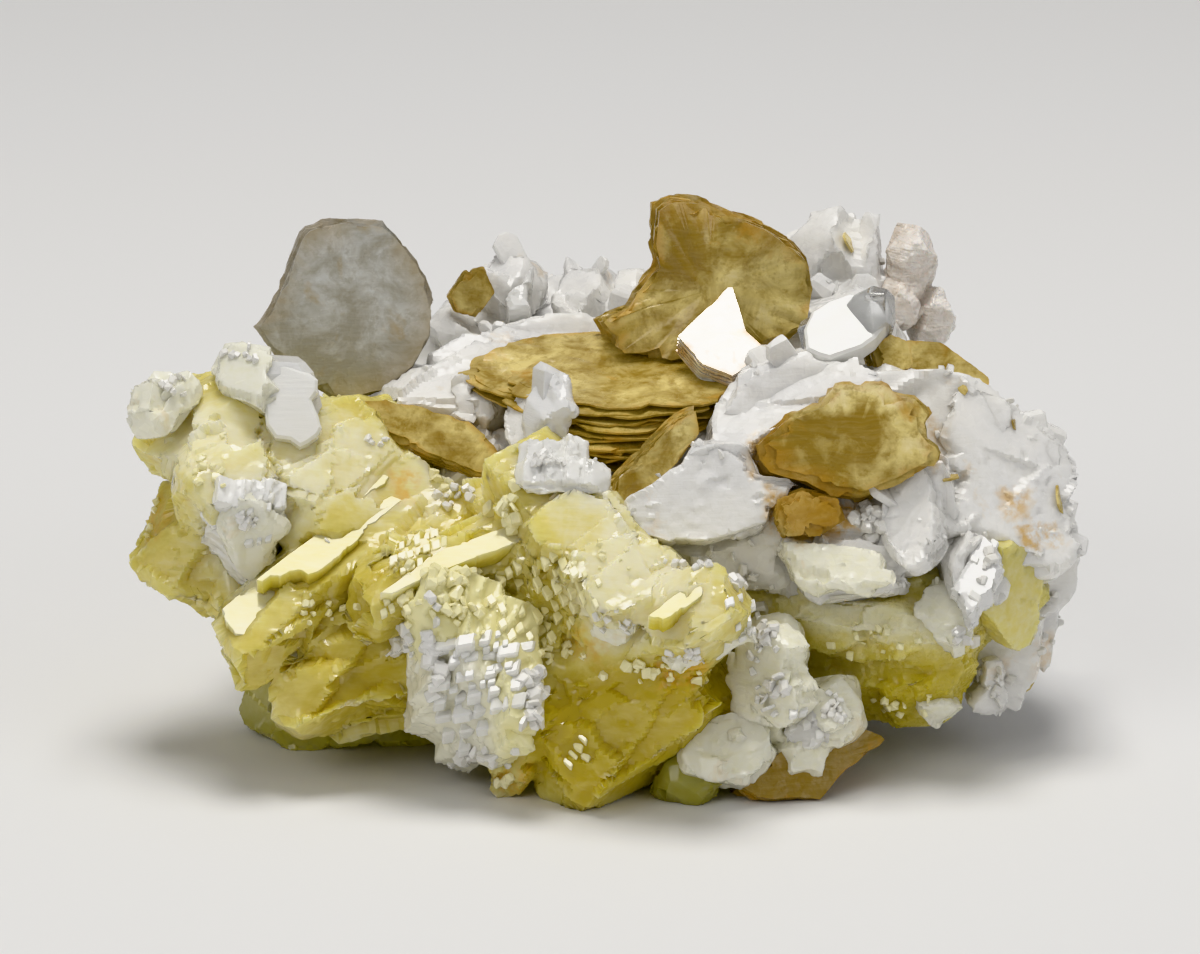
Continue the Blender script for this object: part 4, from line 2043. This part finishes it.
WHITE_CLUMPS = (
    Clump((432, 650), (9, 44), 26, (0.4, 0.95)), Clump((530, 690), (12, 44), 24, (0.4, 0.95)),
    Clump((480, 758), (34, 10), 18, (0.4, 0.9)), Clump((405, 640), (10, 14), 14, (0.4, 0.9)),
    Clump((626, 432), (16, 16), 11, (0.35, 0.8)), Clump((448, 496), (24, 14), 11), Clump((323, 546), (9, 12), 6),
    Clump((655, 455), (30, 14), 13, (0.25, 0.6)), Clump((600, 458), (20, 8), 11, (0.25, 0.5)),
    Clump((545, 462), (26, 10), 13, (0.25, 0.55)), Clump((400, 650), (12, 16), 8), Clump((830, 470), (60, 10), 13),
    Clump((870, 520), (24, 20), 18, (0.3, 0.8)), Clump((700, 560), (40, 14), 15, (0.25, 0.6)),
    Clump((735, 575), (22, 16), 11), Clump((765, 640), (24, 20), 16, (0.3, 0.8)),
    Clump((770, 690), (26, 26), 19, (0.3, 0.8)), Clump((835, 705), (18, 18), 13), Clump((985, 560), (10, 30), 10),
    Clump((960, 640), (14, 12), 7), Clump((995, 690), (12, 22), 11), Clump((250, 525), (20, 16), 9),
    Clump((175, 385), (20, 10), 8, (0.3, 0.6)), Clump((240, 356), (18, 12), 7, (0.3, 0.6)),
    Clump((385, 440), (24, 10), 9, (0.25, 0.5)), Clump((690, 655), (22, 10), 11, (0.25, 0.6)),
    Clump((612, 622), (22, 10), 9, (0.25, 0.5)),
)
YELLOW_CLUMPS = (
    Clump((448, 578), (40, 12), 26, (0.4, 0.9)), Clump((408, 600), (8, 26), 12, (0.4, 0.9)),
    Clump((508, 508), (14, 22), 15, (0.4, 0.9)), Clump((440, 470), (20, 20), 10), Clump((455, 610), (34, 20), 27),
    Clump((660, 670), (40, 12), 18), Clump((560, 655), (40, 14), 15, (0.25, 0.6)),
    Clump((320, 610), (50, 20), 13, (0.25, 0.5)), Clump((205, 470), (40, 30), 13, (0.25, 0.55)),
    Clump((150, 520), (14, 24), 7, (0.3, 0.6)), Clump((870, 640), (50, 20), 13, (0.25, 0.5)),
    Clump((900, 705), (50, 10), 11, (0.3, 0.6)), Clump((508, 780), (14, 10), 6),
    Clump((600, 560), (40, 30), 10, (0.2, 0.45)),
)


# ---- studio


@dataclass(frozen=True)
class Studio:
    """Pale floor, soft light and the way the picture is developed."""

    floor_tone: Colour = (0.80, 0.80, 0.80)
    floor_sunk: float = 0.00002
    sky_tone: Colour = (1.0, 0.99, 0.98)
    sky_power: float = 0.26
    aim: Vector = Vector((0.0, 0.0, 0.012))
    # name, place in metres, size in metres, power in watts and tone
    lamps: tuple[tuple[str, Triple, float, float, Colour], ...] = (
        ("overhead", (0.0, 0.02, 0.42), 0.17, 1.15, (1.0, 0.98, 0.95)),
        ("front_left", (-0.42, -0.5, 0.42), 0.45, 1.15, (1.0, 0.99, 0.97)),
        ("front_right", (0.5, -0.35, 0.3), 0.4, 0.6, (0.98, 0.99, 1.0)),
    )

    def build(self) -> None:
        """Adds the floor, the lamps and the surroundings."""
        bpy.ops.mesh.primitive_plane_add(size=3.0, location=(0, 0.6, -self.floor_sunk))
        floor = bpy.context.object
        floor.name = "floor"
        floor.data.transform(floor.matrix_world)
        floor.matrix_world = Matrix.Identity(4)
        paper = bpy.data.materials.new("floor_paper")
        paper.use_nodes = True
        shader = paper.node_tree.nodes["Principled BSDF"]
        shader.inputs["Base Color"].default_value = (*self.floor_tone, 1.0)
        shader.inputs["Roughness"].default_value = 0.9
        floor.data.materials.append(paper)
        for name, place, size, power, tone in self.lamps:
            data = bpy.data.lights.new(name, "AREA")
            data.size, data.energy, data.color = size, power, tone
            lamp = bpy.data.objects.new(name, data)
            bpy.context.scene.collection.objects.link(lamp)
            lamp.location = place
            lamp.rotation_euler = (self.aim - Vector(place)).to_track_quat("-Z", "Y").to_euler()
        world = bpy.data.worlds.new("studio")
        world.use_nodes = True
        sky = world.node_tree.nodes["Background"]
        sky.inputs["Color"].default_value = (*self.sky_tone, 1.0)
        sky.inputs["Strength"].default_value = self.sky_power
        bpy.context.scene.world = world
        bpy.context.scene.view_settings.view_transform = "Khronos PBR Neutral"


# ---- the specimen

# ways that the faces of the left blocks look
SLANTED = (CALM.normalized(), GLARE, Vector((-0.7, -0.6, 0.4)).normalized())
# the masses, each with its slot and finish
MASSES = (
    (CrystalMass("brazilianite_main_cluster", YELLOW_MASS, 0.205, beds=BEDS, tints=YELLOW_TINTS, plates="main"),
     Slot.BRAZILIANITE, "mass"),
    (CrystalMass("brazilianite_lower_crystal", "lower_crystal_crystals", 0.18, flatten=0.5, step=0.06,
                 tints=YELLOW_TINTS), Slot.BRAZILIANITE, "window"),
    (CrystalMass("brazilianite_right_cluster", RIGHT_MASS, 0.19, cell=1.6, step=0.08, flatten=0.4,
                 axis=Vector((0.9, 0.2, 0.3)), tints=RIGHT_TINTS, plates="right", seed=3),
     Slot.BRAZILIANITE, "fibrous"),
    (CrystalMass("brazilianite_foot_crystal", "foot_crystal_crystals", 0.12, flatten=0.4, step=0.04),
     Slot.BRAZILIANITE, "window"),
    (CrystalMass("brazilianite_back_cluster", "back_cluster_crystals", 0.26, seed=5), Slot.BRAZILIANITE, "mass"),
    (Rock("albite_matrix", WHITE_MASS, 0.33, toward=CLEAVAGE, tints=WHITE_TINTS, soft=3), Slot.ALBITE, "albite"),
    (Rock("albite_right_druse", "right_druse", 0.17, cells=(1.4, 0.6), step=0.12, toward=CLEAVAGE),
     Slot.ALBITE, "straw"),
    (Rock("albite_left_crown", "left_crown", 0.14, cells=(1.8, 0.7), step=0.08, toward=SLANTED),
     Slot.ALBITE, "grey"),
    (Rock("albite_left_cap", "left_cap", 0.14, cells=(1.8, 0.7), step=0.08, toward=SLANTED), Slot.ALBITE, "grey"),
    (Rock("albite_front_crust", "front_crust", 0.17, 0.4, cells=(1.15, 0.6), step=0.14, toward=(GLARE,), snap=0.92,
          jitter=4.0, axis=UPSLOPE + ACROSS * 0.35, bare=0.1, tints=CRUST_TINTS), Slot.ALBITE, "sugar"),
    (Rock("albite_left_crust", "left_crust", 0.14, 0.3, cells=(0.95, 0.5), toward=(GLARE,), snap=0.8, jitter=6.0,
          axis=UPSLOPE, bare=0.1), Slot.ALBITE, "sugar"),
    (Rock("albite_ridge_crown", "ridge_crown", 0.14, 0.25, cells=(0.8, 0.45), step=0.14, toward=(GLARE,), snap=0.3,
          jitter=12.0), Slot.ALBITE, "sugar"),
    (Rock("feldspar_knobs", "brown_knobs", 0.16, cells=(1.1, 0.5), step=0.15, jitter=8.0), Slot.FELDSPAR, "knob"),
)
# the clear crystals, whose solids only get a bevel
CRYSTALS = (
    ("quartz_clear_crystal", Slot.QUARTZ, "quartz"),
    ("albite_striated_crystal", Slot.ALBITE, "glassy"),
    ("albite_small_crystal", Slot.ALBITE, "glassy"),
)
# finishes of the books that aren't brown
LEAF_FINISHES = {"muscovite_left_book": "mica_grey", "muscovite_bright_book": "mica_bright"}


# shards by the name, the slot and the finish of their group
Groups = dict[tuple[str, Slot, str], list[Piece]]


class Specimen:
    """The whole specimen, built from its masses outwards."""

    def __init__(self) -> None:
        """Sets up the camera, the studio, the finishes and the stock."""
        self.sight = Sight()
        self.sight.build()
        Studio().build()
        self.finishes = Finishes()
        self.seats = Seats(self.sight)
        self.stock = Stock()
        self.disc = Disc()

    def hand_in(self, piece: Piece, slot: Slot, finish: str, *nodes: str) -> None:
        """Args:
            piece: The piece, in millimetres.
            slot: Its material slot.
            finish: Name of its finish.
            nodes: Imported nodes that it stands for.
        """
        Bench.ground(piece)
        piece.data.transform(Matrix.Scale(MM, 4))
        piece.data.materials.clear()
        piece.data.materials.append(getattr(self.finishes, finish))
        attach(piece, "root")
        if nodes:
            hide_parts(*nodes)
        log.info("%s: %d faces", piece.name, len(piece.data.polygons))

    def crystal(self, node: str) -> Piece:
        """Bevels a clear crystal's solid.

        Args:
            node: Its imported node.

        Returns:
            The crystal, in millimetres.
        """
        piece = Bench.solid(node, f"{node}_dressed")
        Bench.modify(piece, "BEVEL", width=0.12, segments=2, limit_method="ANGLE")
        self.seats.add(piece)
        return piece

    def plates(self) -> Groups:
        """Builds the shards.

        Returns:
            The shards by group.
        """
        groups: Groups = {}
        rows = [(name, slot, shard) for name, slot, shards in SHARDS for shard in shards]
        for number, (name, slot, shard) in enumerate(rows):
            made = shard.build(self.seats, number)
            if made:
                groups.setdefault((name, slot, shard.finish), []).append(made)
        return groups

    def masses(self, plain: list[Piece], plates: Groups) -> Piece:
        """Dresses the masses.

        Args:
            plain: The plain masses.
            plates: The shards by group, from which those of the yellow masses are taken out.

        Returns:
            A copy of the white mass, in millimetres, for small crystals to grow on.
        """
        ground = None
        for (form, slot, finish), piece in zip(MASSES, plain):
            if form.plates:
                piece = Bench.join(piece.name, [piece] + plates.pop(("yellow_plates", slot, form.plates)))
            form.dress(piece, self.sight)
            self.seats.add(piece)
            if piece.name == WHITE_MASS:
                ground = Bench.copy(piece, "ground")
            if form.node == "brazilianite_back_cluster":
                self.hand_in(YELLOW_GROWTH.build(self.stock, piece), slot, finish)
            self.hand_in(piece, slot, finish, form.node)
        return ground

    def welds(self, plates: Groups) -> None:
        """Welds each group of plates to one mass, but leaves the striated ones crisp.

        Args:
            plates: The shards by group.
        """
        for (name, slot, finish), made in plates.items():
            if finish == "striated":
                piece = Bench.join(f"{name}_{finish}", made)
                Bench.smooth(piece)
            else:
                piece = Weld(f"{name}_{finish}", seed=len(made)).build(made, self.sight)
            self.seats.add(piece)
            self.hand_in(piece, slot, finish)

    def crowds(self, ground: Piece) -> None:
        """Grows the small crystals.

        Args:
            ground: The white mass, in millimetres.
        """
        self.hand_in(Sugar().build(self.stock, ground), Slot.ALBITE, "white_crumb")
        for growth in WHITE_GROWTH:
            self.hand_in(growth.build(self.stock, ground), Slot.ALBITE, "albite")
        self.hand_in(FLAKES.build(self.stock, ground), Slot.MUSCOVITE, "mica")
        chance = random.Random(91)
        for name, sources, slot, finish in (("white_crumbs", WHITE_CLUMPS, Slot.ALBITE, "white_crumb"),
                                            ("yellow_crumbs", YELLOW_CLUMPS, Slot.BRAZILIANITE, "yellow_crumb"),
                                            ("white_steps", WHITE_STEPS, Slot.ALBITE, "striated"),
                                            ("yellow_steps", YELLOW_STEPS, Slot.BRAZILIANITE, "yellow_crumb")):
            made = [copy for source in sources for copy in source.build(self.seats, self.stock, chance)]
            self.hand_in(Bench.gather(name, made), slot, finish)

    def books(self) -> None:
        """Stacks the mica books and the fan."""
        for book in BOOKS:
            piece = book.build(self.disc)
            paint(piece, self.sight, MICA_TINTS)
            self.hand_in(piece, Slot.MUSCOVITE, LEAF_FINISHES.get(book.node, "mica"), book.node)
        self.hand_in(FAN.build(self.disc), Slot.MUSCOVITE, "mica", FAN.node)

    def build(self) -> None:
        """Builds every piece in order, each on those before it, and clears the stock away."""
        plain = [form.build() for form, _, _ in MASSES]
        for piece in plain:
            self.seats.add(piece)
        crystals = [self.crystal(node) for node, _, _ in CRYSTALS]
        plates = self.plates()
        ground = self.masses(plain, plates)
        self.hand_in(glossy_faces(self.seats, GLOSSY, YELLOW_MASS), Slot.BRAZILIANITE, "facet")
        self.welds(plates)
        self.crowds(ground)
        self.books()
        for piece, (node, slot, finish) in zip(crystals, CRYSTALS):
            self.hand_in(piece, slot, finish, node)
        self.stock.clear()
        Bench.remove([ground, self.disc.sheet])


def main() -> None:
    """Builds the specimen and keeps its size."""
    logging.basicConfig(level=logging.INFO, format="%(message)s", stream=sys.stdout)
    noise.seed_set(NOISE_SEED)
    Specimen().build()


if __name__ == "__main__":
    main()
